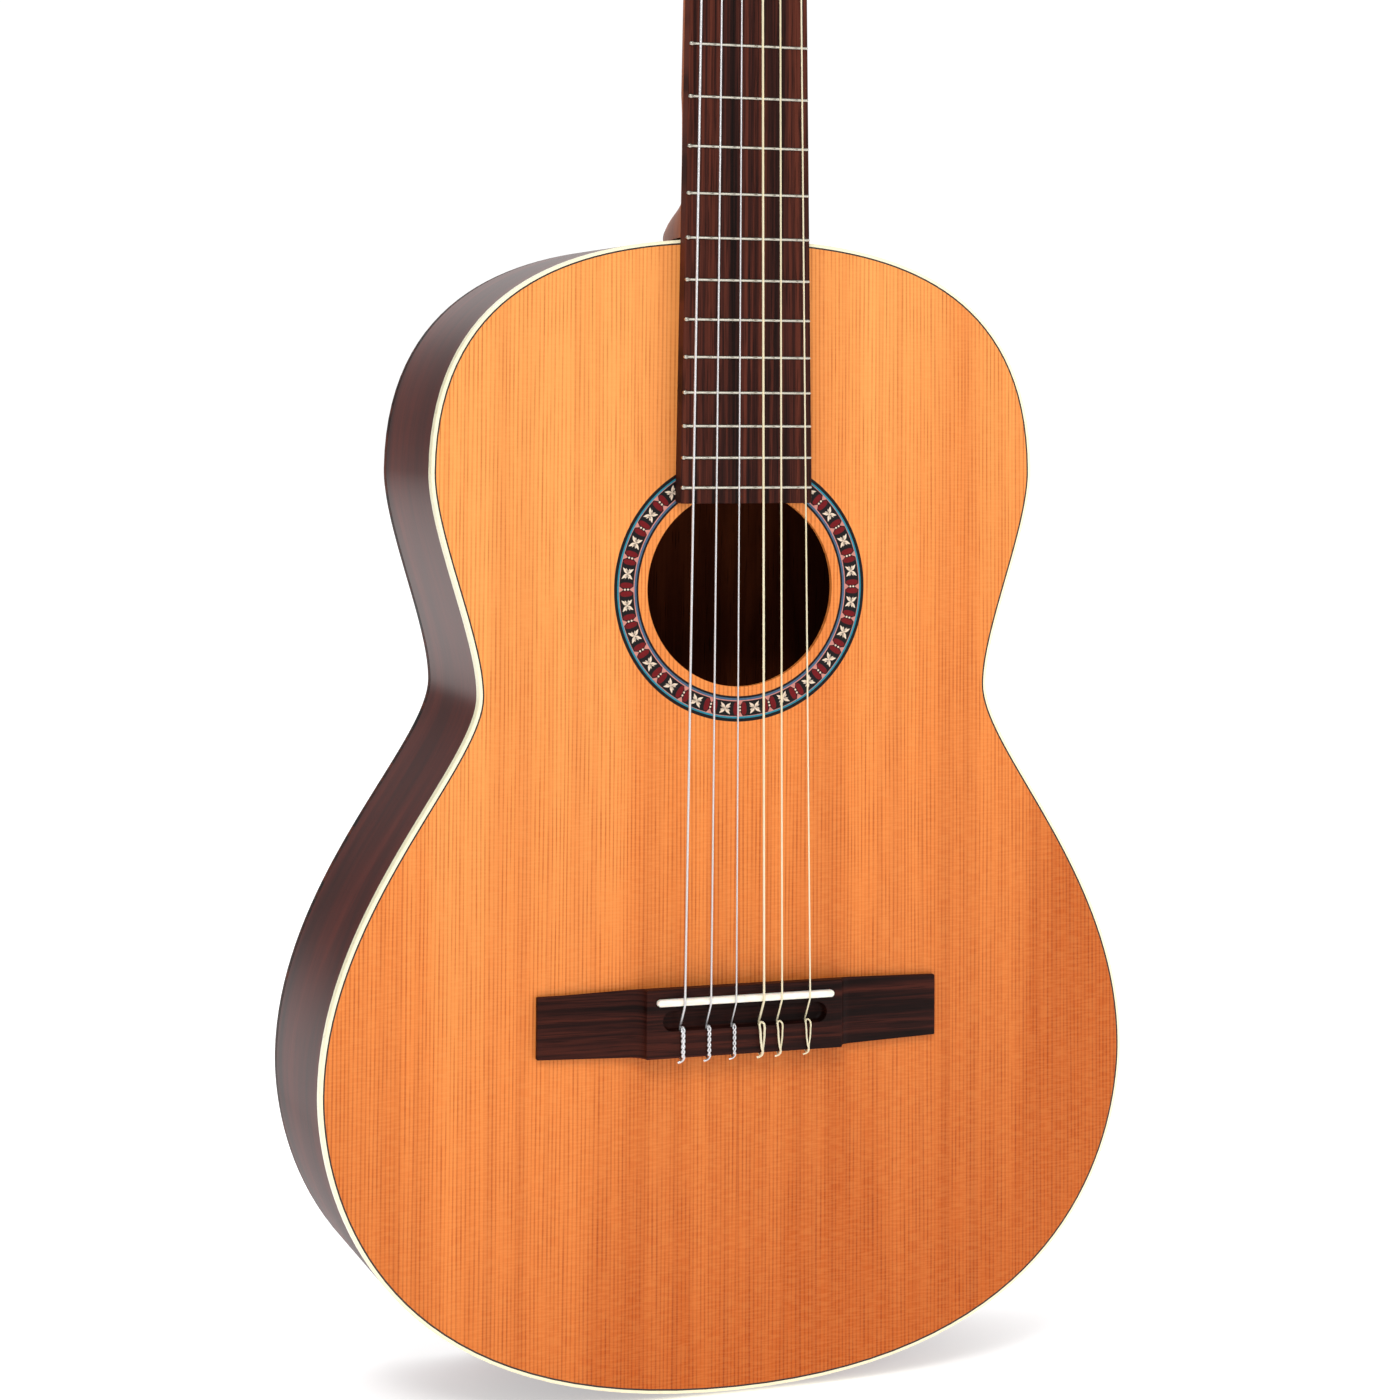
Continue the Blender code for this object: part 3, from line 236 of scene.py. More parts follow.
class Nodes:
    """A short way to write a material's node tree."""

    def __init__(self, name):
        self.material = bpy.data.materials.new(name)
        self.material.use_nodes = True
        self.tree = self.material.node_tree
        self.shader = self.tree.nodes["Principled BSDF"]

    def add(self, kind, **settings):
        node = self.tree.nodes.new(kind)
        for key, value in settings.items():
            setattr(node, key, value)
        return node

    def link(self, source, target):
        self.tree.links.new(source, target)

    def feed(self, socket, value):
        if isinstance(value, bpy.types.NodeSocket):
            self.link(value, socket)
        else:
            socket.default_value = value

    def coords(self, scale=(1, 1, 1), uv=None):
        """Object coordinates, or a UV map's, stretched by a scale."""
        if uv:
            source = self.add("ShaderNodeUVMap", uv_map=uv).outputs["UV"]
        else:
            source = self.add("ShaderNodeTexCoord").outputs["Object"]
        mapping = self.add("ShaderNodeMapping")
        mapping.inputs["Scale"].default_value = scale
        self.link(source, mapping.inputs["Vector"])
        return mapping.outputs["Vector"]

    def noise(self, vector, scale=1.0, detail=2.0, rough=0.5, distortion=0.0):
        node = self.add("ShaderNodeTexNoise")
        self.link(vector, node.inputs["Vector"])
        node.inputs["Scale"].default_value = scale
        node.inputs["Detail"].default_value = detail
        node.inputs["Roughness"].default_value = rough
        node.inputs["Distortion"].default_value = distortion
        return node.outputs["Fac"]

    def maths(self, operation, first, second=0.0, third=0.0):
        node = self.add("ShaderNodeMath", operation=operation)
        for socket, value in zip(node.inputs, (first, second, third)):
            self.feed(socket, value)
        return node.outputs[0]

    def spread(self, value, low, high, to_low=0.0, to_high=1.0):
        """Maps a stretch of values to another, clamped."""
        node = self.add("ShaderNodeMapRange")
        self.link(value, node.inputs["Value"])
        node.inputs["From Min"].default_value = low
        node.inputs["From Max"].default_value = high
        node.inputs["To Min"].default_value = to_low
        node.inputs["To Max"].default_value = to_high
        return node.outputs["Result"]

    def mix(self, factor, first, second, blend="MIX"):
        node = self.add("ShaderNodeMix", data_type="RGBA", blend_type=blend)
        self.feed(node.inputs["Factor"], factor)
        for socket, value in ((node.inputs[6], first), (node.inputs[7], second)):
            self.feed(socket, (*value, 1) if isinstance(value, tuple) else value)
        return node.outputs[2]

    def ramp(self, value, stops):
        node = self.add("ShaderNodeValToRGB")
        self.link(value, node.inputs["Fac"])
        elements = node.color_ramp.elements
        while len(elements) < len(stops):
            elements.new(0.5)
        for element, (position, colour) in zip(elements, stops):
            element.position = position
            element.color = (*colour, 1)
        return node.outputs["Color"]

    def bump(self, height, strength, distance):
        node = self.add("ShaderNodeBump")
        self.link(height, node.inputs["Height"])
        node.inputs["Strength"].default_value = strength
        node.inputs["Distance"].default_value = distance
        self.link(node.outputs["Normal"], self.shader.inputs["Normal"])

    def set(self, **values):
        """Sets the shader's own sockets, written with underscores for spaces."""
        for key, value in values.items():
            self.feed(self.shader.inputs[key.replace("_", " ")], value)
        return self


def colour(red, green, blue):
    """A display colour from 0 to 255, as the linear values that a shader takes."""
    def linear(value):
        share = value / 255
        return share / 12.92 if share <= 0.04045 else ((share + 0.055) / 1.055) ** 2.4

    return (linear(red), linear(green), linear(blue))


def mirrored(make, scale):
    """Object coordinates folded at the centre line, as two halves sawn from one board show."""
    split = make.add("ShaderNodeSeparateXYZ")
    make.link(make.coords(), split.inputs[0])
    join = make.add("ShaderNodeCombineXYZ")
    make.link(make.maths("ABSOLUTE", split.outputs[0]), join.inputs[0])
    make.link(split.outputs[1], join.inputs[1])
    make.link(split.outputs[2], join.inputs[2])
    mapping = make.add("ShaderNodeMapping")
    mapping.inputs["Scale"].default_value = scale
    make.link(join.outputs[0], mapping.inputs["Vector"])
    return mapping.outputs["Vector"]


def cedar():
    """Straight fine grain in two mirrored halves, golden near the neck, with painted shade: browner and
    darker towards the end and the treble side.
    """
    make = Nodes("cedar")
    place_on_board = make.add("ShaderNodeSeparateXYZ")
    make.link(make.coords(), place_on_board.inputs[0])
    # Painted shade: the colour darkens towards the end and the treble side, where the light falls off;
    # broad random tone is added after.
    down = make.spread(place_on_board.outputs[2], -0.34, -0.82)
    painted_shade_and_tone = make.maths("ADD", down, make.maths("MULTIPLY", place_on_board.outputs[0], 1.5))
    broad = make.noise(mirrored(make, (34, 1, 0.8)), detail=3, distortion=0.3)
    painted_shade_and_tone = make.maths("ADD", painted_shade_and_tone, make.spread(broad, 0.3, 0.7, -0.24, 0.24))
    tone = make.ramp(
        painted_shade_and_tone,
        ((0.05, colour(244, 156, 80)), (0.5, colour(228, 130, 58)), (1.0, colour(192, 92, 25))),
    )
    wander = make.noise(mirrored(make, (60, 1, 3.0)), detail=2)
    folded = make.add("ShaderNodeSeparateXYZ")
    make.link(mirrored(make, (RING_TURNS, 1, 1)), folded.inputs[0])
    rings = make.maths("SINE", make.maths("ADD", folded.outputs[0], make.maths("MULTIPLY", wander, 14)))
    flecks = make.noise(mirrored(make, (260, 1, 30)), detail=2)
    strength = make.spread(flecks, 0.35, 0.65, 0.25, 1.0)
    lines = make.maths("MULTIPLY", make.spread(rings, 0.0, 1.0), strength)
    streaks = make.noise(mirrored(make, (150, 1, 1.2)), detail=2, rough=0.6)
    silk = make.noise(make.coords((140, 1, 1300)), detail=1)
    darker = make.mix(1.0, tone, (0.60, 0.46, 0.36), "MULTIPLY")
    wood = make.mix(lines, tone, darker)
    wood = make.mix(make.spread(streaks, 0.48, 0.75, 0.0, 0.36), wood, darker)
    wood = make.mix(make.spread(silk, 0.40, 0.62, 0.0, 0.10), wood, colour(250, 176, 98))
    rough = make.spread(lines, 0.3, 0.7, 0.44, 0.56)
    make.set(Base_Color=wood, Roughness=rough, Specular_IOR_Level=0.22)
    make.bump(lines, 0.10, 0.0002)
    return make.material


def mahogany(name, uv, dark, mid, light, rough, gloss, coat=0.0):
    """Red-brown wood with long ribbons, pores along the grain and a lacquer whose depth is the coat."""
    make = Nodes(name)
    if uv:
        scales = ((5, 34, 1), (14, 260, 1), (60, 1500, 1))
        vectors = [make.coords(scale, uv="grain") for scale in scales]
    else:
        vectors = [mirrored(make, scale) for scale in ((34, 1, 5), (260, 1, 14), (1500, 1, 60))]
    ribbons = make.noise(vectors[0], detail=3, distortion=0.8)
    fibres = make.noise(vectors[1], detail=3, rough=0.65)
    pores = make.noise(vectors[2], detail=1)
    tone = make.ramp(ribbons, ((0.3, dark), (0.5, mid), (0.72, light)))
    wood = make.mix(make.spread(fibres, 0.4, 0.7, 0.0, 0.55), tone, dark)
    wood = make.mix(make.spread(pores, 0.60, 0.72, 0.0, 0.7), wood, tuple(0.35 * c for c in dark))
    make.set(Base_Color=wood, Roughness=rough, Coat_Weight=coat, Coat_Roughness=0.12)
    if uv:
        height = make.add("ShaderNodeSeparateXYZ")
        make.link(make.coords(), height.inputs[0])
        gloss = make.spread(height.outputs[2], *GLOSS_FADES, 0.15 * gloss, 1.5 * gloss)
    make.set(Specular_IOR_Level=gloss, Specular_Tint=(*WARM_GLOSS, 1))
    make.bump(pores, 0.12, 0.0001)
    return make.material


def rosewood(name, scale_fine, scale_broad, dark, mid, light):
    """Dark oiled wood with streaks along the grain and open pores."""
    make = Nodes(name)
    broad = make.noise(make.coords(scale_broad), detail=4, rough=0.6, distortion=0.5)
    fine = make.noise(make.coords(scale_fine), detail=2)
    tone = make.ramp(broad, ((0.38, dark), (0.50, mid), (0.62, light)))
    wood = make.mix(make.spread(fine, 0.52, 0.66, 0.0, 0.6), tone, tuple(0.4 * c for c in dark))
    rough = make.spread(broad, 0.3, 0.7, 0.42, 0.58)
    make.set(Base_Color=wood, Roughness=rough, Specular_IOR_Level=0.08)
    make.bump(fine, 0.25, 0.0002)
    return make.material


def plain(name, tone, rough, metal=0.0, variation=0.12, scale=300, **more):
    """A smooth material with slight mottling and uneven polish."""
    make = Nodes(name)
    mottle = make.noise(make.coords((scale, scale, scale)), detail=3)
    darker = tuple(c * (1 - variation) for c in tone)
    make.set(
        Base_Color=make.mix(make.spread(mottle, 0.35, 0.65), darker, tone),
        Roughness=make.spread(mottle, 0.3, 0.7, rough * 0.85, rough * 1.2),
        Metallic=metal,
        **more,
    )
    return make.material


def bone():
    make = Nodes("bone")
    grain = make.noise(make.coords((200, 900, 900)), detail=3)
    tone = make.mix(make.spread(grain, 0.35, 0.65), colour(236, 230, 212), colour(250, 247, 238))
    make.set(Base_Color=tone, Roughness=0.32, Subsurface_Weight=0.15, Subsurface_Scale=0.002)
    return make.material


def pearl():
    """Milky plastic with clouded swirls."""
    make = Nodes("pearl_plastic")
    swirl = make.noise(make.coords((90, 90, 160)), detail=4, distortion=2.5)
    tone = make.ramp(
        swirl,
        ((0.3, colour(206, 200, 186)), (0.5, colour(238, 234, 222)), (0.65, colour(252, 250, 244))),
    )
    make.set(Base_Color=tone, Roughness=0.16, Coat_Weight=0.6, Coat_Roughness=0.05)
    return make.material


def wound_wire():
    """Silver-plated wire wound tightly round a core: fine ridges across the string, with painted shade
    in the grooves between the turns.
    """
    make = Nodes("wound_silver")
    wave = make.add("ShaderNodeTexWave", wave_type="BANDS", bands_direction="Z")
    make.link(make.coords(), wave.inputs["Vector"])
    wave.inputs["Scale"].default_value = 900
    # Painted shade: the colour is darker in the grooves between the turns, where shade falls.
    ridge_and_groove_shade = make.spread(wave.outputs["Fac"], 0.0, 0.5)
    tone = make.mix(ridge_and_groove_shade, colour(150, 148, 148), colour(238, 238, 240))
    make.set(Base_Color=tone, Metallic=0.85, Roughness=0.30)
    make.bump(wave.outputs["Fac"], 0.4, 0.0001)
    return make.material


def nylon():
    make = Nodes("nylon")
    haze = make.noise(make.coords((400, 400, 12)), detail=2)
    tone = make.mix(haze, colour(242, 226, 176), colour(255, 248, 222))
    make.set(Base_Color=tone, Roughness=0.22, Transmission_Weight=0.25, IOR=1.53, Coat_Weight=0.3)
    return make.material


# Dark, middle and light tone of each wood, as display colours
WOOD_TONES = {
    "side": ((46, 13, 10), (78, 24, 16), (106, 40, 27)),
    "back": ((54, 18, 13), (90, 32, 22), (118, 48, 34)),
    "bare": ((60, 26, 14), (92, 44, 24), (116, 58, 32)),
    "neck": ((132, 66, 34), (172, 94, 52), (196, 116, 68)),
    "spruce": ((176, 134, 84), (206, 166, 112), (222, 188, 136)),
    "board": ((20, 10, 8), (52, 23, 18), (88, 41, 29)),
    "bridge": ((22, 8, 6), (42, 17, 13), (66, 29, 21)),
    "veneer": ((44, 22, 18), (70, 36, 28), (98, 54, 40)),
}
TONES = {wood: [colour(*tone) for tone in tones] for wood, tones in WOOD_TONES.items()}
LENGTHWAYS = (1500, 1, 45)
CROSSWAYS = (45, 1, 1500)
FINISH = {
    "cedar": cedar(),
    "side_wood": mahogany("side_mahogany", True, *TONES["side"], 0.36, 0.26),
    "back_wood": mahogany("back_mahogany", False, *TONES["back"], 0.32, 0.30, 0.15),
    "bare_wood": mahogany("bare_mahogany", False, *TONES["bare"], 0.8, 0.0),
    "neck_wood": mahogany("neck_mahogany", False, *TONES["neck"], 0.44, 0.25),
    "board_wood": rosewood("fingerboard_rosewood", LENGTHWAYS, (270, 1, 2.4), *TONES["board"]),
    "bridge_wood": rosewood("bridge_rosewood", CROSSWAYS, (6.0, 1, 230), *TONES["bridge"]),
    "veneer_wood": rosewood("veneer_rosewood", LENGTHWAYS, (120, 1, 4.0), *TONES["veneer"]),
    "spruce": mahogany("spruce_brace", False, *TONES["spruce"], 0.6, 0.2),
    "binding": plain("cream_binding", colour(250, 242, 206), 0.30, variation=0.05, Coat_Weight=0.4),
    "black_fibre": plain("black_fibre", colour(34, 18, 14), 0.45, variation=0.2),
    "bone": bone(),
    "nylon": nylon(),
    "wound_silver": wound_wire(),
    "nickel": plain("nickel", colour(214, 210, 204), 0.20, metal=1.0, variation=0.06),
    "fret_wire": plain("fret_wire", colour(188, 183, 170), 0.24, metal=1.0, variation=0.08),
    "brass": plain("brass", colour(226, 186, 110), 0.22, metal=1.0, variation=0.10),
    "pearl_plastic": pearl(),
}
# Each veneer of the rosette: its colour, how much it varies and how finely
ROSETTE_VENEERS = {
    "rosette_black": ((20, 16, 18), 0.2, 300),
    "rosette_teal": ((40, 132, 152), 0.18, 900),
    "rosette_blue": ((70, 98, 124), 0.18, 900),
    "rosette_pink": ((206, 136, 124), 0.18, 900),
    "rosette_maroon": ((112, 14, 20), 0.2, 900),
    "rosette_cream": ((236, 214, 190), 0.15, 900),
}
for veneer, (shade, variation, fineness) in ROSETTE_VENEERS.items():
    FINISH[veneer] = plain(
        veneer, colour(*shade), 0.45, variation=variation, scale=fineness, Specular_IOR_Level=0.15
    )


# Mesh helpers


def mesh_from(form, name):
    mesh = bpy.data.meshes.new(name)
    form.to_mesh(mesh)
    form.free()
    return mesh


def placed(name, data):
    made = bpy.data.objects.new(name, data)
    bpy.context.scene.collection.objects.link(made)
    return made


def baked(made, *used):
    """The mesh that an object's modifiers give. The object and the others it used are then removed."""
    bpy.context.view_layer.update()
    graph = bpy.context.evaluated_depsgraph_get()
    result = bpy.data.meshes.new_from_object(made.evaluated_get(graph))
    for spent in (made, *used):
        bpy.data.objects.remove(spent)
    return result


def ease_edges(made, width, segments, sharpest=30):
    """Rounds the edges that turn by more than an angle in degrees."""
    edge = made.modifiers.new("edge", "BEVEL")
    edge.width = width
    edge.segments = segments
    edge.limit_method = "ANGLE"
    edge.angle_limit = math.radians(sharpest)
    return edge


def bevelled(mesh, width, segments=4):
    made = placed("bevelled", mesh)
    ease_edges(made, width, segments)
    return baked(made)


def enlist(made, body, stands_for):
    """Hangs a piece under its body's empty and hides the CAD nodes it stands for."""
    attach(made, body)
    if stands_for:
        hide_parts(*stands_for)
    return made


def piece(name, mesh, finish, body="guitar", stands_for=(), smooth=35, bevel=0.0):
    """Puts a mesh in the scene as a finished piece that rides on a body."""
    made = placed(name, mesh)
    mesh.materials.clear()
    mesh.materials.append(FINISH[finish])
    if smooth:
        mesh.shade_smooth()
        mesh.set_sharp_from_angle(angle=math.radians(smooth))
    if bevel:
        ease_edges(made, bevel, 3, 40).harden_normals = True
    return enlist(made, body, stands_for)


def prism_mesh(name, loops, view, near, far):
    """Flat outlines, the first with the others as holes, extruded between two depths of a drawing."""
    curve = bpy.data.curves.new(name, "CURVE")
    curve.dimensions = "2D"
    curve.fill_mode = "BOTH"
    curve.extrude = abs(far - near) / 2
    for loop in loops:
        spline = curve.splines.new("POLY")
        spline.points.add(len(loop) - 1)
        for point, (across, along) in zip(spline.points, loop):
            point.co = (across, along, 0, 1)
        spline.use_cyclic_u = True
    mesh = baked(placed(name, curve))
    mesh.transform(view @ Matrix.Translation((0, 0, (near + far) / 2)))
    form = bmesh.new()
    form.from_mesh(mesh)
    bmesh.ops.remove_doubles(form, verts=form.verts, dist=1e-6)
    bmesh.ops.dissolve_limit(form, angle_limit=0.001, verts=form.verts, edges=form.edges)
    form.to_mesh(mesh)
    form.free()
    return mesh


def loft_mesh(name, rings, loop=False, uv=None):
    """A skin through rings of equally many points: closed with caps, or back on itself."""
    form = bmesh.new()
    made = [[form.verts.new(point) for point in ring] for ring in rings]
    count = len(rings[0])
    layer = form.loops.layers.uv.new("grain") if uv else None
    pairs = [(k, k + 1) for k in range(len(made) - 1)]
    if loop:
        pairs.append((len(made) - 1, 0))
    for low, high in pairs:
        for k in range(count):
            after = (k + 1) % count
            corners = ((low, k), (low, after), (high, after), (high, k))
            face = form.faces.new([made[ring][point] for ring, point in corners])
            if uv:
                for corner, (ring, point) in zip(face.loops, corners):
                    corner[layer].uv = uv(ring, point)
    if not loop:
        form.faces.new(made[0])
        form.faces.new(made[-1])
    bmesh.ops.recalc_face_normals(form, faces=form.faces)
    return mesh_from(form, name)


def turned_mesh(name, start, axis, profile, sides=32):
    """A lathe shape: (distance along the axis, radius) pairs from one end to the other."""
    turn = Vector(axis).to_track_quat("Z", "Y")
    rings = []
    for reach, radius in profile:
        around = [2 * math.pi * k / sides for k in range(sides)]
        ring = [Vector((radius * math.cos(a), radius * math.sin(a), reach)) for a in around]
        rings.append([Vector(start) + turn @ point for point in ring])
    return loft_mesh(name, rings)


def tube_curve(name, points, radius, finish, body="guitar", stands_for=(), smooth_path=True):
    """A round strand through points, as a bevelled curve."""
    curve = bpy.data.curves.new(name, "CURVE")
    curve.dimensions = "3D"
    curve.bevel_depth = radius
    curve.bevel_resolution = 4
    curve.use_fill_caps = True
    curve.resolution_u = 6
    spline = curve.splines.new("BEZIER" if smooth_path else "POLY")
    if smooth_path:
        spline.bezier_points.add(len(points) - 1)
        for knot, point in zip(spline.bezier_points, points):
            knot.co = point
            knot.handle_left_type = "AUTO"
            knot.handle_right_type = "AUTO"
    else:
        spline.points.add(len(points) - 1)
        for knot, point in zip(spline.points, points):
            knot.co = (*point, 1)
    curve.materials.append(FINISH[finish])
    return enlist(placed(name, curve), body, stands_for)


def combined(mesh, other_meshes, operation):
    """A mesh with the others cut from it or joined to it."""
    base = placed("base", mesh)
    others = [placed(f"other_{k}", other) for k, other in enumerate(other_meshes)]
    for other in others:
        modifier = base.modifiers.new(other.name, "BOOLEAN")
        modifier.operation = operation
        modifier.solver = "EXACT"
        modifier.object = other
    return baked(base, *others)


def rod_mesh(start, end, radius, sides=24):
    start, end = Vector(start), Vector(end)
    along = end - start
    return turned_mesh("rod", start, along, [(0, radius), (along.length, radius)], sides)


def box_mesh(low, high):
    form = bmesh.new()
    bmesh.ops.create_cube(form, size=1)
    bmesh.ops.scale(form, vec=Vector(high) - Vector(low), verts=form.verts)
    bmesh.ops.translate(form, vec=(Vector(high) + Vector(low)) / 2, verts=form.verts)
    return mesh_from(form, "box")


# The body's outline


def bezier(start, first, second, end, steps):
    found = []
    for k in range(steps):
        t = k / steps
        a, b, c, d = (1 - t) ** 3, 3 * t * (1 - t) ** 2, 3 * t * t * (1 - t), t**3
        knots = zip(start, first, second, end)
        found.append(tuple(a * p + b * q + c * r + d * s for p, q, r, s in knots))
    return found


def anchor(share):
    return (share[0] * BODY_HALF, BODY_TOP - share[1] * BODY_LONG)


def half_outline(steps=OUTLINE_STEPS):
    """The treble half of the body's outer edge, from the neck round to the end."""
    (t1, t2), (u1, u2), (w1, w2), (l1, l2) = [[h * BODY_LONG for h in pair] for pair in OUTLINE_HANDLES]
    upper, waist, lower = anchor(UPPER_BOUT), anchor(WAIST), anchor(LOWER_BOUT)
    top, end = (0, BODY_TOP), (0, BODY_TOP - BODY_LONG)
    return (
        bezier(top, (t1, top[1]), (upper[0], upper[1] + t2), upper, steps)
        + bezier(upper, (upper[0], upper[1] - u1), (waist[0], waist[1] + u2), waist, steps)
        + bezier(waist, (waist[0], waist[1] - w1), (lower[0], lower[1] + w2), lower, steps)
        + bezier(lower, (lower[0], lower[1] - l1), (l2, end[1]), end, steps)
        + [end]
    )


HALF_EDGE = half_outline()


def inset_half(inset):
    """The half outline moved inwards, square to the edge."""
    beyond = [(-x, z) for x, z in (HALF_EDGE[1], HALF_EDGE[-2])]
    longer = [beyond[0], *HALF_EDGE, beyond[1]]
    moved = []
    for before, (x, z), after in zip(longer, longer[1:], longer[2:]):
        run = Vector((after[0] - before[0], after[1] - before[1])).normalized()
        moved.append((x + run.y * inset, z - run.x * inset))
    moved[0] = (0.0, moved[0][1])
    moved[-1] = (0.0, moved[-1][1])
    return moved


def inset_outline(inset):
    half = inset_half(inset)
    return half + [(-x, z) for x, z in reversed(half[1:-1])]


def back_plane(z):
    """Depth of the back's edge, which grows from the neck to the end."""
    return DEPTH_AT_NECK + (DEPTH_AT_END - DEPTH_AT_NECK) * (BODY_TOP - z) / BODY_LONG


def circle(radius, centre=(0, 0), steps=128):
    turns = [2 * math.pi * k / steps for k in range(steps)]
    return [(centre[0] + radius * math.cos(a), centre[1] + radius * math.sin(a)) for a in turns]


def stadium(half_long, half_wide, z, steps=12):
    reach = half_long - half_wide
    right = [math.pi * (k / steps - 0.5) for k in range(steps + 1)]
    ends = [(reach + half_wide * math.cos(a), z + half_wide * math.sin(a)) for a in right]
    return ends + [(-x, 2 * z - y) for x, y in ends]


# Body


def make_soundboard():
    edge = inset_outline(BINDING_WIDE + PURFLING_WIDE)
    hole = circle(HOLE_RADIUS, (0, HOLE_Z))
    board = prism_mesh("soundboard_wood", [edge, hole], FRONT_VIEW, -SOUNDBOARD_THICK, 0)
    rings = [circle(r, (0, HOLE_Z)) for r in (ROSETTE_OUTER, ROSETTE_INNER)]
    groove = prism_mesh("groove", rings, FRONT_VIEW, -ROSETTE_DEEP, 0.001)
    board = combined(board, [groove], "DIFFERENCE")
    piece("soundboard_wood", board, "cedar", stands_for=["soundboard"], smooth=25)


def sweep_edge(name, section, finish, stands_for=()):
    """A strip round the whole body: section gives (inset, depth at a height) points."""
    insets = [inset_outline(inset) for inset, _ in section]
    rings = []
    for k in range(len(insets[0])):
        places = [(loop[k], depth) for loop, (_, depth) in zip(insets, section)]
        rings.append([Vector((x, depth(z), z)) for (x, z), depth in places])
    mesh = loft_mesh(name, rings, loop=True)
    return piece(name, mesh, finish, stands_for=stands_for, smooth=40)


def level(depth):
    return lambda z: depth


def from_back(depth):
    return lambda z: back_plane(z) - depth


def make_bindings():
    """A cream strip in front and a dark one behind, both eased, with thin lines beside them."""
    wide, deep, ease = BINDING_WIDE, BINDING_DEEP, SIDE_LINE_WIDE
    shares = [(1 - math.sin(a), 1 - math.cos(a)) for a in (math.pi / 2 * k / 4 for k in range(5))]
    strips = (
        ("binding_front_strip", level, "binding_top", "binding", "binding"),
        ("binding_rear_strip", from_back, "binding_back", "board_wood", "rosewood"),
    )
    for name, depth, node, finish, slot in strips:
        corner = [(ease * first, depth(ease * second)) for first, second in shares]
        section = [(wide, depth(deep)), (wide, depth(0.0))] + corner + [(0.0, depth(deep))]
        sweep_edge(name, section, finish, [node])
        below = deep + SIDE_LINE_WIDE
        line = [(0.00002, deep), (0.00002, below), (wide, below), (wide, deep)]
        line = [(inset, depth(under)) for inset, under in line]
        sweep_edge(name.replace("strip", "side_line"), line, "black_fibre")
    top, bottom, inner = level(0), level(SOUNDBOARD_THICK), wide + PURFLING_WIDE
    line = [(wide, top), (inner, top), (inner, bottom), (wide, bottom)]
    sweep_edge("purfling_front", line, "black_fibre")


def make_sides():
    """Two bent strips whose grain runs round the body."""
    front = BINDING_DEEP + SIDE_LINE_WIDE
    outer, inner = inset_half(0.0), inset_half(SIDE_THICK)
    along = [0.0]
    for (x0, z0), (x1, z1) in zip(outer, outer[1:]):
        along.append(along[-1] + math.hypot(x1 - x0, z1 - z0))
    for half, side in (("treble", 1), ("bass", -1)):
        name = f"side_strip_{half}"
        rings = []
        for (xo, zo), (xi, zi) in zip(outer, inner):
            xo, xi = max(xo, SEAM), max(xi, SEAM)
            corners = [(xo, zo, front), (xo, zo, back_plane(zo) - front)]
            corners += [(xi, zi, back_plane(zi) - front), (xi, zi, front)]
            rings.append([Vector((side * x, y, z)) for x, z, y in corners])
        depths = (0.0, 0.095, 0.2, 0.295)

        def grain(ring, point, shift=0.7 if side < 0 else 0.0):
            return (along[ring] + shift, depths[point] + shift)

        mesh = loft_mesh(name, rings, uv=grain)
        piece(name, mesh, "side_wood", stands_for=[f"side_{half}"], smooth=40)
        mesh.materials.append(FINISH["bare_wood"])
        for face in mesh.polygons:
            if face.index % 4 == 2:
                face.material_index = 1


def swell(share_across, z):
    along = (BODY_TOP - z) / BODY_LONG * 2 - 1
    return BACK_SWELL * (1 - share_across**2) * (1 - along**4)


def make_back():
    """The arched back: rows across the body, thickened inwards."""
    half = inset_half(BINDING_WIDE)
    columns = 24
    form = bmesh.new()
    rows = []
    for x, z in half:
        shares = [2 * k / columns - 1 for k in range(columns + 1)] if x > 0 else [0]
        rows.append([form.verts.new((x * s, back_plane(z) + swell(s, z), z)) for s in shares])
    for upper, lower in zip(rows, rows[1:]):
        for k in range(columns):
            corners = [upper[min(k, len(upper) - 1)], upper[min(k + 1, len(upper) - 1)]]
            corners += [lower[min(k + 1, len(lower) - 1)], lower[min(k, len(lower) - 1)]]
            unique = list(dict.fromkeys(corners))
            form.faces.new(unique)
    bmesh.ops.recalc_face_normals(form, faces=form.faces)
    if sum(face.normal.y for face in form.faces) < 0:
        bmesh.ops.reverse_faces(form, faces=form.faces)
    mesh = mesh_from(form, "back_plate")
    plate = piece("back_plate", mesh, "back_wood", stands_for=["back"])
    shell = plate.modifiers.new("thickness", "SOLIDIFY")
    shell.thickness = BACK_THICK
    shell.offset = -1
    plate.data.materials.append(FINISH["bare_wood"])
    shell.material_offset = 1


# Rosette: flat inlays in rings round the soundhole


def polar(radius, turn):
    return (radius * math.cos(turn), HOLE_Z + radius * math.sin(turn))


def ring_piece(name, outer, inner, finish):
    rings = [circle(r, (0, HOLE_Z), 192) for r in (outer, inner)]
    stands = ["rosette"] if name == "rosette_ground" else []
    mesh = prism_mesh(name, rings, FRONT_VIEW, -ROSETTE_DEEP, 0.0)
    piece(name, mesh, finish, stands_for=stands)


def inlay_piece(name, shapes, finish, proud):
    """Many small closed outlines as one thin inlay."""
    form = bmesh.new()
    for shape in shapes:
        low = [form.verts.new((x, 0.0002, z)) for x, z in shape]
        high = [form.verts.new((x, -proud, z)) for x, z in shape]
        form.faces.new(low)
        form.faces.new(high[::-1])
        for k in range(len(shape)):
            after = (k + 1) % len(shape)
            form.faces.new((low[after], low[k], high[k], high[after]))
    bmesh.ops.recalc_face_normals(form, faces=form.faces)
    piece(name, mesh_from(form, name), finish, smooth=0)


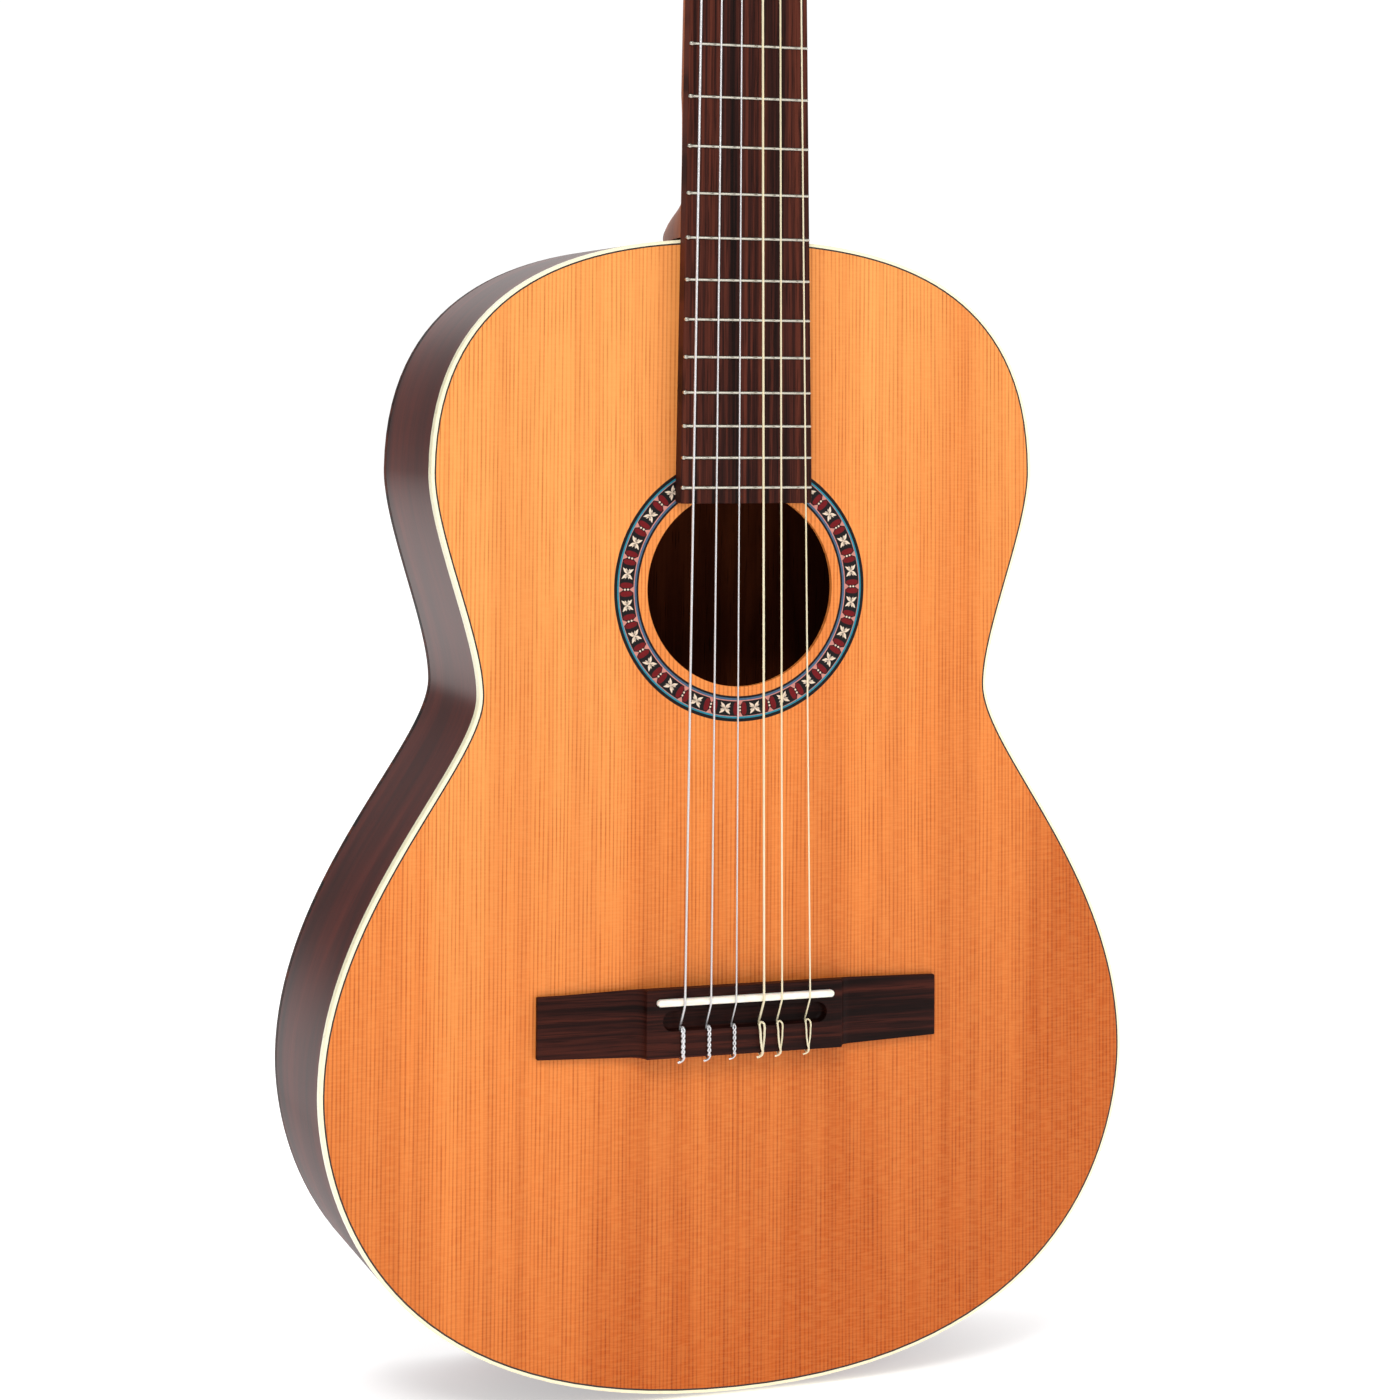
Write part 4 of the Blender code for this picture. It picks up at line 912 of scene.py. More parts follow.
def leaf(radius, turn, lean, root, tip, wide, steps=8):
    """A petal that leans from the ring's direction, from root to tip away from the flower's centre."""
    found = []
    for k in range(2 * steps):
        share = k / steps if k < steps else 2 - k / steps
        side = 1 if k < steps else -1
        out = root + (tip - root) * share
        half = side * wide * math.sin(math.pi * min(1.0, share**0.7)) if 0 < share < 1 else 0.0
        along = out * math.cos(lean) - half * math.sin(lean)
        across = out * math.sin(lean) + half * math.cos(lean)
        found.append(polar(radius + across, turn + along / radius))
    return found


def oval(radius, turn, reach, half_across, half_along, steps=14, power=1.0):
    """A dot or, at a power below 1, a squarer lens, shifted along the ring by a reach."""
    found = []
    for k in range(steps):
        a = 2 * math.pi * k / steps
        across = half_across * math.copysign(abs(math.cos(a)) ** power, math.cos(a))
        along = half_along * math.copysign(abs(math.sin(a)) ** power, math.sin(a))
        found.append(polar(radius + across, turn + (reach + along) / radius))
    return found


def make_rosette():
    """Rings of veneer round a black band with flowers, paired red lenses and small dots."""
    bands = (
        ("rosette_rim_outer", ROSETTE_OUTER, 0.0564, "rosette_black"),
        ("rosette_line_teal", 0.0564, 0.0556, "rosette_teal"),
        ("rosette_line_outer", 0.0556, 0.0554, "rosette_pink"),
        ("rosette_ground", 0.0554, 0.0490, "rosette_black"),
        ("rosette_line_inner", 0.0490, 0.0486, "rosette_pink"),
        ("rosette_line_blue", 0.0486, 0.0477, "rosette_blue"),
        ("rosette_rim_inner", 0.0477, ROSETTE_INNER, "rosette_black"),
    )
    for name, outer, inner, finish in bands:
        ring_piece(name, outer, inner, finish)
    middle, half = 0.0522, 0.0032
    petals, lenses, dots, corners = [], [], [], []
    for k in range(ROSETTE_REPEATS):
        turn = 2 * math.pi * (k + 0.5) / ROSETTE_REPEATS
        for towards, side in ((0, 1), (math.pi, -1), (math.pi, 1), (0, -1)):
            petals.append(leaf(middle, turn, towards + side * 0.80, 0.0002, 0.0034, 0.00062))
            petals.append(leaf(middle, turn, towards + side * 0.36, 0.0006, 0.0025, 0.0003))
        petals.append(oval(middle, turn, 0.0, 0.0005, 0.0005))
        between = 2 * math.pi * k / ROSETTE_REPEATS
        for side in (1, -1):
            lenses.append(oval(middle, between, side * 0.00185, 0.0028, 0.00120, power=0.8))
            dots.append(oval(middle + side * 0.0007, between, 0.0, 0.00042, 0.00042))
            edge, tip = middle + side * half, middle + side * 0.0013
            foot = [polar(edge, between + way * 0.0013 / edge) for way in (-1, 1)]
            corners.append([*foot, polar(tip, between)])
    inlay_piece("rosette_petals", petals, "rosette_cream", 0.00003)
    inlay_piece("rosette_lenses", lenses, "rosette_maroon", 0.00002)
    inlay_piece("rosette_dots", dots, "rosette_cream", 0.00004)
    inlay_piece("rosette_corners", corners, "rosette_pink", 0.00003)


# Neck and head


def board_half_width(z):
    """Half the fingerboard's width at a height."""
    return (NUT_WIDTH + (WIDTH_AT_12 - NUT_WIDTH) * -z / (SCALE / 2)) / 2


def d_section(wide, deep, blunt, pinch, steps=28):
    """Half an oval from +X round the back to -X: a low blunt squares it, a high pinch narrows it."""
    found = []
    for k in range(steps + 1):
        turn = math.pi * k / steps
        cos = math.cos(turn)
        x = wide * math.copysign(abs(cos) ** pinch, cos)
        found.append((x, deep * math.sin(turn) ** blunt if 0 < k < steps else 0.0))
    return found


def heel_section(above):
    """A V-shaped keel that swells to a fuller one just above the body."""
    wide = board_half_width(BODY_TOP + above)
    long = HEEL_START - BODY_TOP
    deep = SHAFT_DEEP_AT_HEEL + HEEL_RISE * max(0.0, 1 - above / long) ** HEEL_FADE
    fade = min(1.0, max(0.0, (above - HEEL_FLARE_HIGH) / (long - HEEL_FLARE_HIGH)))
    keel = d_section(wide, deep, 2 - (2 - SHAFT_BLUNT) * fade, 2 - fade)
    full = d_section(wide, HEEL_FLARE_DEEP, HEEL_FLARE_BLUNT, HEEL_FLARE_PINCH)
    flare = math.sqrt(max(0.0, 1 - (above / HEEL_FLARE_HIGH) ** 2))
    return [(x + (a - x) * flare, y + (b - y) * flare) for (x, y), (a, b) in zip(keel, full)]


def neck_rings():
    """Level rings up the heel and the shaft, then rings square to the head's face."""
    rings = []
    heights = [SEAM + HEEL_FLARE_HIGH * math.sin(math.pi / 2 * k / 10) for k in range(11)]
    rise = HEEL_START - BODY_TOP - heights[-1]
    heights += [heights[-1] + rise * k / 18 for k in range(1, 19)]
    for above in heights:
        rings.append([Vector((x, y, BODY_TOP + above)) for x, y in heel_section(above)])
    for k in range(1, 13):
        z = HEEL_START * (1 - k / 12)
        deep = SHAFT_DEEP_AT_NUT + (SHAFT_DEEP_AT_HEEL - SHAFT_DEEP_AT_NUT) * z / HEEL_START
        deep += SHAFT_THICKER_AT_NUT * max(0.0, 1 + z / 0.014)
        section = d_section(board_half_width(z), deep, SHAFT_BLUNT, 1.0)
        rings.append([Vector((x, y, z)) for x, y in section])
    root = (
        (0.0030, 0.0246, 0.50),
        (0.0055, 0.0250, 0.38),
        (0.0080, 0.0256, 0.30),
        (0.0110, 0.0266, 0.22),
        (0.0140, 0.0280, 0.16),
    )
    for u, wide, blunt in root:
        section = d_section(wide, HEAD_BACK - VENEER_THICK, blunt, 1.0 - 0.6 * u / root[-1][0])
        rings.append([head_point(x, u, VENEER_THICK + y) for x, y in section])
    return rings


def rounded(corners, radius_share=0.5, steps=5):
    """Softens an open run of corners with quadratic curves through the middles of its sides."""
    found = [corners[0]]
    for before, here, after in zip(corners, corners[1:], corners[2:]):
        start = tuple(h + (other - h) * radius_share for h, other in zip(here, before))
        end = tuple(h + (other - h) * radius_share for h, other in zip(here, after))
        for k in range(steps + 1):
            t = k / steps
            a, b, c = (1 - t) ** 2, 2 * t * (1 - t), t * t
            found.append(tuple(a * s + b * h + c * e for s, h, e in zip(start, here, end)))
    found.append(corners[-1])
    return found


def head_outline(foot):
    """The head's edge from its foot, drawn for the treble side and mirrored."""
    half = foot + [(0.0262, 0.0100), (0.0300, 0.0185), (0.0345, 0.0270), (HEAD_HALF_WIDE, 0.0380)]
    half += [(HEAD_HALF_WIDE, 0.1760), (0.0340, 0.1840), (0.0250, 0.1905), (0.0130, 0.1945)]
    half = rounded([*half, (0.0, HEAD_LONG)])
    return half + [(-x, u) for x, u in reversed(half[:-1])]


def head_slots():
    middle, half_long = (SLOT_FROM + SLOT_TO) / 2, (SLOT_TO - SLOT_FROM) / 2
    half_wide = (SLOT_OUTER - SLOT_INNER) / 2
    centre = (SLOT_OUTER + SLOT_INNER) / 2
    lying = stadium(half_long, half_wide, 0, 16)
    return [[(side * centre + y, middle + x) for x, y in lying] for side in (1, -1)]


def make_neck():
    neck = loft_mesh("neck_shaft", neck_rings())
    plate = prism_mesh("head", [head_outline([])] + head_slots(), HEAD_VIEW, -HEAD_BACK, -VENEER_THICK)
    neck = combined(neck, [plate], "UNION")
    cutters = [box_mesh((-0.05, HEEL_END + 0.0003, -0.34), (0.05, 0.2, -0.29))]
    for side in (1, -1):
        reach = (HEAD_HALF_WIDE + 0.001, SLOT_OUTER - 0.001, SLOT_INNER + 0.001, BORE_END)
        for place_on_side in range(3):
            points = [head_point(side * x, roller_u(place_on_side), ROLLER_V) for x in reach]
            cutters.append(rod_mesh(points[0], points[1], BARREL_RADIUS + 0.0003))
            cutters.append(rod_mesh(points[2], points[3], JOURNAL_RADIUS + 0.0003))
    neck = combined(neck, cutters, "DIFFERENCE")
    piece("neck_wood", neck, "neck_wood", stands_for=["neck"], smooth=32)
    outline = head_outline([(board_half_width(0), 0.0)])
    veneer = prism_mesh("head_face", [outline] + head_slots(), HEAD_VIEW, -VENEER_THICK, 0)
    piece("head_face", veneer, "veneer_wood", stands_for=["head_veneer"], bevel=0.0003)
    low, reach = CAP_LOW.z, CAP_HIGH.z - CAP_LOW.z - 0.008
    half = [(CAP_HIGH.x, low)]
    for k in range(13):
        turn = math.pi / 2 * k / 12
        half.append((CAP_HIGH.x * math.cos(turn), low + reach + 0.008 * math.sin(turn)))
    cap = half + [(-x, z) for x, z in reversed(half[:-1])]
    mesh = prism_mesh("heel_cap_wood", [cap], FRONT_VIEW, -CAP_HIGH.y, -HEEL_END - 0.0003)
    piece("heel_cap_wood", mesh, "board_wood", stands_for=["heel_cap"], bevel=0.0005)


def make_fingerboard():
    low, top = BOARD_LOW.z, 0.0
    drawing = [(-board_half_width(top), top), (board_half_width(top), top)]
    ease = 0.0015
    wide = board_half_width(low)
    for k in range(6):
        turn = math.pi / 2 * k / 5
        drawing.append((wide - ease + ease * math.cos(turn), low + ease - ease * math.sin(turn)))
    drawing += [(-x, z) for x, z in reversed(drawing[2:])]
    mesh = prism_mesh("fingerboard_wood", [drawing], FRONT_VIEW, 0.0, BOARD_TOP)
    piece("fingerboard_wood", mesh, "board_wood", stands_for=["fingerboard"], bevel=0.0005)
    for number in range(1, FRETS + 1):
        make_fret(number)


def make_fret(number):
    """A domed wire across the board, with a rounded end like a bead on the bass side."""
    z = -SCALE * (1 - 2 ** (-number / 12))
    wide = board_half_width(z) - 0.0001
    bead = [math.pi * k / 8 for k in range(1, 7)]
    runs = [(-wide + BEAD * (1 - math.cos(a)), BEAD * math.sin(a)) for a in bead]
    runs = [(-wide, BEAD * 0.2)] + runs
    runs += [(wide - 0.0010, FRET_CROWN), (wide - 0.0004, FRET_CROWN * 0.9), (wide, FRET_CROWN * 0.5)]
    rings = []
    for x, half in runs:
        high = min(FRET_HIGH, half * 1.1)
        ring = []
        for k in range(13):
            turn = math.pi * k / 12
            ring.append(Vector((x, -BOARD_TOP - high * math.sin(turn), z + half * math.cos(turn))))
        ring.append(Vector((x, -BOARD_TOP + 0.0003, z - half)))
        ring.append(Vector((x, -BOARD_TOP + 0.0003, z + half)))
        rings.append(ring)
    name = f"fret_{number:02d}"
    piece(name, loft_mesh(name, rings), "fret_wire", smooth=50)


def make_nut():
    block = box_mesh((NUT_LOW.x, NUT_LOW.y, NUT_LOW.z), (NUT_HIGH.x, 0, NUT_HIGH.z))
    block = bevelled(block, 0.0007)
    cuts = []
    for x, radius in zip(STRING_X_NUT, STRING_RADII):
        y = -STRING_HIGH_NUT - radius
        cuts.append(rod_mesh((x, y, -0.002), (x, y, 0.008), radius * 1.12, 16))
        cuts.append(box_mesh((x - radius, y - 0.002, -0.002), (x + radius, y, 0.008)))
    block = combined(block, cuts, "DIFFERENCE")
    piece("nut_bone", block, "bone", stands_for=["nut"], smooth=40)


# Bridge and strings


def make_bridge():
    """A block with a cove down to each wing, a slot for the saddle and a trough for the strings."""
    half = [(BRIDGE_HALF_LONG, 0.0), (BRIDGE_HALF_LONG, TIP_HIGH)]
    half.append((BRIDGE_BLOCK_HALF + COVE, WING_HIGH))
    rise = BLOCK_HIGH - WING_HIGH
    steps = 14
    for k in range(1, steps + 1):
        turn = math.pi / 2 * k / steps
        x = BRIDGE_BLOCK_HALF + COVE * (1 - math.sin(turn))
        half.append((x, WING_HIGH + rise * (1 - math.cos(turn))))
    drawing = half + [(-x, y) for x, y in reversed(half)]
    near, far = -BRIDGE_Z - BLOCK_HALF_WIDE, -BRIDGE_Z + BLOCK_HALF_WIDE
    mesh = prism_mesh("bridge_wood", [drawing], END_VIEW, near, far)
    for vertex in mesh.vertices:
        share = max(0.0, abs(vertex.co.x) - BRIDGE_BLOCK_HALF) / (BRIDGE_HALF_LONG - BRIDGE_BLOCK_HALF)
        wide = BLOCK_HALF_WIDE + (TIP_HALF_WIDE - BLOCK_HALF_WIDE) * share
        vertex.co.z = BRIDGE_Z + math.copysign(wide, vertex.co.z - BRIDGE_Z)
    mesh = bevelled(mesh, 0.0006, 3)
    slot = stadium(SADDLE_HIGH.x + 0.0001, (SADDLE_HIGH.z - SADDLE_LOW.z) / 2 + 0.0001, SADDLE_Z)
    trough = stadium(TROUGH_HALF_LONG, TROUGH_WIDE / 2, TROUGH_Z)
    cuts = [
        prism_mesh("slot", [slot], FRONT_VIEW, 0.0045, 0.02),
        bevelled(prism_mesh("trough", [trough], FRONT_VIEW, TROUGH_FLOOR, 0.02), 0.002, 4),
    ]
    for x in STRING_X_SADDLE:
        ends = [(x, -TIE_HOLE_HIGH, z) for z in (TROUGH_Z, BRIDGE_Z - 0.02)]
        cuts.append(rod_mesh(*ends, TIE_HOLE_RADIUS, 20))
    mesh = combined(mesh, cuts, "DIFFERENCE")
    piece("bridge_wood", mesh, "bridge_wood", stands_for=["bridge"], smooth=32)
    outline = stadium(SADDLE_HIGH.x, (SADDLE_HIGH.z - SADDLE_LOW.z) / 2, SADDLE_Z, 16)
    mesh = bevelled(prism_mesh("saddle_bone", [outline], FRONT_VIEW, 0.0046, SADDLE_TOP), 0.0009)
    piece("saddle_bone", mesh, "bone", stands_for=["saddle"], smooth=60)


def run_of_string(number):
    """The straight part: from the tie block's hole over the saddle and the nut to the barrel."""
    radius = STRING_RADII[number - 1]
    x_saddle, x_nut = STRING_X_SADDLE[number - 1], STRING_X_NUT[number - 1]
    side, place_on_side = TUNERS[number]
    over_saddle = -(SADDLE_TOP + STRING_GAP + radius)
    over_nut = -(STRING_HIGH_NUT + radius)
    half = (SADDLE_HIGH.z - SADDLE_LOW.z) / 2
    barrel = head_point(
        side * STRING_X_BARREL[place_on_side],
        roller_u(place_on_side),
        ROLLER_V - BARREL_RADIUS - radius,
    )
    return [
        Vector((x_saddle, over_saddle + 0.0003, SADDLE_Z - half)),
        Vector((x_saddle, over_saddle, SADDLE_Z)),
        Vector((x_nut, over_nut, 0)),
        Vector((x_nut, over_nut, NUT_HIGH.z)),
        barrel,
    ]


def tie_points(number):
    """The tie: through the hole, up behind the block, over it, round the string and back."""
    radius = STRING_RADII[number - 1]
    x = STRING_X_SADDLE[number - 1]
    top = BLOCK_HIGH + radius
    front, rear = TROUGH_Z - TROUGH_WIDE / 2, BRIDGE_Z - BLOCK_HALF_WIDE
    plain_string = number <= 3
    open_by = 0.0011 if plain_string else 0.0005
    steps = 5 if plain_string else 12

    def strand(side, shares):
        """One side of the loop over the block: open on a plain string, twisted on a wound one."""
        points = []
        for share in shares:
            if plain_string:
                off = side * open_by * math.sin(math.pi * share * 0.62)
                lift = radius * (1.2 - side)
            else:
                phase = math.pi * 5 * (0.25 + share)
                off = side * open_by * math.sin(phase)
                lift = open_by * (1 + side * math.cos(phase)) * 0.5
            points.append((x + off, top + lift, rear + (front - rear) * share))
        return points

    start = [
        (x, TIE_HOLE_HIGH + 0.0002, front + 0.0016),
        (x, TIE_HOLE_HIGH, front - 0.0010),
        (x, TIE_HOLE_HIGH, rear + 0.0010),
        (x + 0.0001, TIE_HOLE_HIGH + 0.0002, rear - 0.0006),
        (x + 0.0002, TIE_HOLE_HIGH + 0.0024, rear - 0.0010),
        (x + 0.0002, top + 0.0001, rear + 0.0004),
    ]
    bend = [
        (x + open_by, top + 0.0002, front - 0.0002),
        (x + open_by * 0.8, top - 0.0004, front + 0.0010),
        (x, top - 0.0010, front + 0.0015),
        (x - open_by * 0.8, top - 0.0004, front + 0.0010),
        (x - open_by, top + 0.0002, front - 0.0002),
    ]
    tail = [
        (x + 0.0004, top - 0.0002, rear - 0.0004),
        (x - 0.0006, top - 0.0010, rear - 0.0016),
        (x - 0.0018, top - 0.0014, rear - 0.0020),
    ]
    shares = [k / steps for k in range(1, steps)]
    points = start + strand(1, shares) + bend + strand(-1, shares[::-1]) + tail
    return [Vector((px, -high, z)) for px, high, z in points]


def make_strings():
    for number in range(1, 7):
        finish = "nylon" if number <= 3 else "wound_silver"
        radius = STRING_RADII[number - 1]
        run, tie = run_of_string(number), tie_points(number)
        stands = [f"string_{number}"]
        strand = [tie[0], *run]
        name = f"string_run_{number}"
        tube_curve(name, strand, radius, finish, stands_for=stands, smooth_path=False)
        tube_curve(f"string_tie_{number}", tie, radius, finish)
        make_winding(number, radius, finish)


def make_winding(number, radius, finish):
    """Turns of string on the barrel, which go round with it."""
    side, place_on_side = TUNERS[number]
    x = side * STRING_X_BARREL[place_on_side]
    turns = 3.5 if number <= 3 else 2.5
    out = BARREL_RADIUS + radius
    points = []
    for k in range(int(turns * 16) + 1):
        turn = 2 * math.pi * k / 16
        u, v = roller_u(place_on_side) + out * math.sin(turn), ROLLER_V - out * math.cos(turn)
        points.append(head_point(x - side * 2.1 * radius * k / 16, u, v))
    body = f"string_roller_{number}"
    tube_curve(f"string_turns_{number}", points, radius, finish, body, smooth_path=False)


# Tuning machines


def make_plate(side, name, node):
    """A side plate with scalloped ends, lugs for the worms, and screws."""
    view = axes(HEAD_IN, HEAD_UP, HEAD_FOOT)
    low, high = PLATE_INNER, PLATE_INNER + PLATE_THICK
    middle, half = sum(PLATE_V) / 2, (PLATE_V[1] - PLATE_V[0]) / 2
    outline = []
    for foot, sign in ((PLATE_U[0] + half, -1), (PLATE_U[1] - half, 1)):
        for k in range(17):
            turn = math.pi * k / 16
            across = middle - sign * half * math.cos(turn)
            outline.append((across, foot + sign * half * math.sin(turn)))
    plate = bevelled(prism_mesh(name, [outline], view, side * low, side * high), 0.0003, 2)
    lugs = []
    for place_on_side in range(3):
        worm_u = roller_u(place_on_side) - WORM_OFFSET
        for near in (-1, 1):
            v = ROLLER_V + near * (WORM_HALF_LONG + 0.0003 + LUG_THICK / 2)
            base = head_point(0, worm_u, v - LUG_THICK / 2)
            arch = circle(LUG_RADIUS, (0, GEAR_X), 24)[:13]
            arch = [(LUG_RADIUS, low + 0.0004), *arch, (-LUG_RADIUS, low + 0.0004)]
            lug_view = axes(HEAD_UP, (side, 0, 0), base)
            depth = LUG_THICK if HEAD_UP.cross(Vector((side, 0, 0))).dot(HEAD_IN) > 0 else -LUG_THICK
            lugs.append(bevelled(prism_mesh("lug", [arch], lug_view, 0.0, depth), 0.0003, 2))
    plate = combined(plate, lugs, "UNION")
    bores = []
    for place_on_side in range(3):
        u = roller_u(place_on_side)
        ends = [head_point(side * GEAR_X, u - WORM_OFFSET, v) for v in (0.0, 0.03)]
        bores.append(rod_mesh(ends[0], ends[1], SHAFT_RADIUS + 0.0002))
        ends = [head_point(side * x, u, ROLLER_V) for x in (low - 0.001, high + 0.001)]
        bores.append(rod_mesh(ends[0], ends[1], SPINDLE_RADIUS + 0.0002))
    plate = combined(plate, bores, "DIFFERENCE")
    piece(name, plate, "nickel", stands_for=[node], smooth=32)
    for k, u in enumerate((PLATE_U[0] + 0.0040, 0.0840, 0.1190, PLATE_U[1] - 0.0040)):
        start = head_point(side * (high - 0.0002), u, ROLLER_V + 0.001)
        screw(f"{name}_screw_{k + 1}", start, Vector((side, 0, 0)), 0.0019, "nickel", "guitar")


def screw(name, start, axis, radius, finish, body):
    """A domed screw head with a straight slot."""
    profile = [(0.0, radius)]
    for k in range(1, 7):
        turn = math.pi / 2 * k / 6
        profile.append((0.0003 + 0.0007 * math.sin(turn), max(radius * math.cos(turn), 0.00005)))
    head = turned_mesh(name, start, axis, profile, 32)
    top = start + axis.normalized() * 0.0011
    across = axis.orthogonal().normalized() * radius * 1.2
    up = axis.normalized().cross(across).normalized() * 0.00022
    deep = axis.normalized() * 0.0005
    corners = [top + a + b + c for a in (-across, across) for b in (-up, up) for c in (-deep, deep)]
    form = bmesh.new()
    bmesh.ops.convex_hull(form, input=[form.verts.new(corner) for corner in corners])
    head = combined(head, [mesh_from(form, "slot")], "DIFFERENCE")
    piece(name, head, finish, body=body, smooth=40)


def make_roller(number, side, u):
    """A barrel with a thin journal towards the centre line, and the metal spindle of its gear."""
    start = head_point(0, u, ROLLER_V)
    body = f"string_roller_{number}"
    barrel_end = HEAD_HALF_WIDE - 0.0005
    begin = SLOT_INNER + 0.0004
    ease = 0.0004
    profile = [(JOURNAL_END, JOURNAL_RADIUS - ease), (JOURNAL_END + ease, JOURNAL_RADIUS)]
    profile += [(begin, JOURNAL_RADIUS), (begin, BARREL_RADIUS - ease), (begin + ease, BARREL_RADIUS)]
    profile += [(barrel_end - ease, BARREL_RADIUS), (barrel_end, BARREL_RADIUS - ease)]
    name, stands = f"barrel_{number}", [f"roller_{number}"]
    barrel = turned_mesh(name, start, (side, 0, 0), profile, 40)
    piece(name, barrel, "bone", body, stands, smooth=30)
    name = f"spindle_{number}"
    profile = [(barrel_end - 0.002, SPINDLE_RADIUS), (SPINDLE_END, SPINDLE_RADIUS)]
    spindle = turned_mesh(name, start, (side, 0, 0), profile, 24)
    piece(name, spindle, "nickel", body, smooth=30)
    start = head_point(side * GEAR_SCREW_X, u, ROLLER_V)
    screw(f"gear_screw_{number}", start, Vector((side, 0, 0)), 0.0028, "nickel", body)
    dress(frame["nodes"][f"gear_{number}"], "brass", 0.0002)


def dress(node, finish, bevel=0.0):
    """Gives a CAD node that stays in view its material and eased edges."""
    node.data.materials.clear()
    node.data.materials.append(FINISH[finish])
    if bevel:
        ease_edges(node, bevel, 2)


def make_worm(number, side, u):
    """A shaft with a right-handed thread that meshes with the gear, and its button."""
    centre = head_point(side * GEAR_X, u - WORM_OFFSET, ROLLER_V)
    body = f"worm_shaft_{number}"
    profile = [(-0.0080, SHAFT_RADIUS - 0.0003), (-0.0077, SHAFT_RADIUS)]
    profile += [(-WORM_HALF_LONG, SHAFT_RADIUS), (-WORM_HALF_LONG, WORM_CORE)]
    profile += [(WORM_HALF_LONG, WORM_CORE), (WORM_HALF_LONG, SHAFT_RADIUS)]
    profile += [(BUTTON_V[0] + 0.0070 - ROLLER_V, SHAFT_RADIUS)]
    shaft = turned_mesh("shaft", centre, HEAD_IN, profile, 32)
    root = WORM_CORE - 0.0005
    section = [(root, -0.00075), (WORM_CREST, -0.0003), (WORM_CREST, 0.0003), (root, 0.00075)]
    rings = []
    sides, steps = 40, 64
    for k in range(-steps, steps + 1):
        turn = 2 * math.pi * k / sides
        out = HEAD_UP * math.cos(turn) + Vector((1, 0, 0)) * math.sin(turn)
        climb = WORM_LEAD * k / sides
        rings.append([centre + out * radius + HEAD_IN * (climb + off) for radius, off in section])
    worm = combined(shaft, [loft_mesh("thread", rings)], "UNION")
    piece(f"worm_gear_{number}", worm, "nickel", body, [f"worm_{number}"], smooth=32)
    make_button(number, centre, body)


def make_button(number, centre, body):
    """An oval pearl grip that narrows to a metal collar."""
    length = BUTTON_V[1] - BUTTON_V[0]
    rings = []
    count = 40
    for k in range(25):
        share = k / 24
        reach = BUTTON_V[0] - ROLLER_V + length * share
        bulge = math.sin(math.pi * (0.16 + 0.84 * share) ** 1.1) ** 0.55 if share < 1 else 0.02
        wide = 0.0079 * bulge
        thick = 0.0042 * max(bulge, 0.02) ** 0.8
        ring = []
        for j in range(count):
            a = 2 * math.pi * j / count
            out = HEAD_UP * wide * math.cos(a) + Vector((thick * math.sin(a), 0, 0))
            ring.append(centre + HEAD_IN * reach + out)
        rings.append(ring)
    name, finish = f"grip_{number}", "pearl_plastic"
    piece(name, loft_mesh(name, rings), finish, body, [f"button_{number}"], smooth=60)
    profile = [(0.0, 0.0024), (0.0006, 0.0029), (0.0024, 0.0029), (0.0030, 0.0024)]
    start = centre + HEAD_IN * (BUTTON_V[0] - ROLLER_V - 0.0012)
    collar = turned_mesh(f"collar_{number}", start, HEAD_IN, profile, 32)
    piece(f"collar_{number}", collar, "nickel", body, smooth=30)


def make_tuners():
    make_plate(1, "machine_plate_treble", "tuner_plate_treble")
    make_plate(-1, "machine_plate_bass", "tuner_plate_bass")
    for number, (side, place_on_side) in TUNERS.items():
        make_roller(number, side, roller_u(place_on_side))
        make_worm(number, side, roller_u(place_on_side))


def dress_inside():
    """Bare woods on the pieces inside the body, which stay as the frame has them."""
    inside = ["lining_top", "lining_back", "harmonic_bar_upper", "harmonic_bar_lower"]
    inside += [f"fan_brace_{k}" for k in range(1, 6)] + [f"back_brace_{k}" for k in range(1, 4)]
    for name in inside:
        dress(frame["nodes"][name], "spruce")
    for name in ("neck_block", "tail_block"):
        dress(frame["nodes"][name], "neck_wood")


# Stage, light and camera


def floor_paper():
    """Pale paper, a little greyer to the left and behind, where the glossy sides would mirror it."""
    make = Nodes("floor_paper")
    split = make.add("ShaderNodeSeparateXYZ")
    make.link(make.coords(), split.inputs[0])
    across = make.maths("MULTIPLY", split.outputs[0], -1)
    lean = make.maths("MULTIPLY", split.outputs[1], FLOOR_GREY_LEAN)
    beyond = make.maths("SUBTRACT", make.maths("ADD", across, lean), FLOOR_GREY_FROM)
    shade = make.spread(beyond, 0.05, 1.9)
    mottle = make.noise(make.coords((2, 2, 2)), detail=2)
    white = make.mix(mottle, (0.90, 0.90, 0.90), (0.92, 0.92, 0.92))
    make.set(
        Base_Color=make.mix(shade, white, (0.50, 0.50, 0.50)),
        Roughness=0.9,
        Specular_IOR_Level=0.0,
        Emission_Color=make.mix(shade, (1.0, 1.0, 1.0), (0.0, 0.0, 0.0)),
        Emission_Strength=FLOOR_GLOW,
    )
    return make.material


def make_stage():
    """A pale, faintly glowing floor that lies flat far beyond the guitar, so no edge is seen."""
    floor_z = BODY_LOW.z - 0.002
    form = bmesh.new()
    corners = ((-1, -1), (1, -1), (1, 1), (-1, 1))
    places = [(x * FLOOR_HALF, y * FLOOR_HALF, floor_z) for x, y in corners]
    form.faces.new([form.verts.new(place) for place in places])
    floor = placed("floor", mesh_from(form, "floor"))
    floor.data.materials.append(floor_paper())


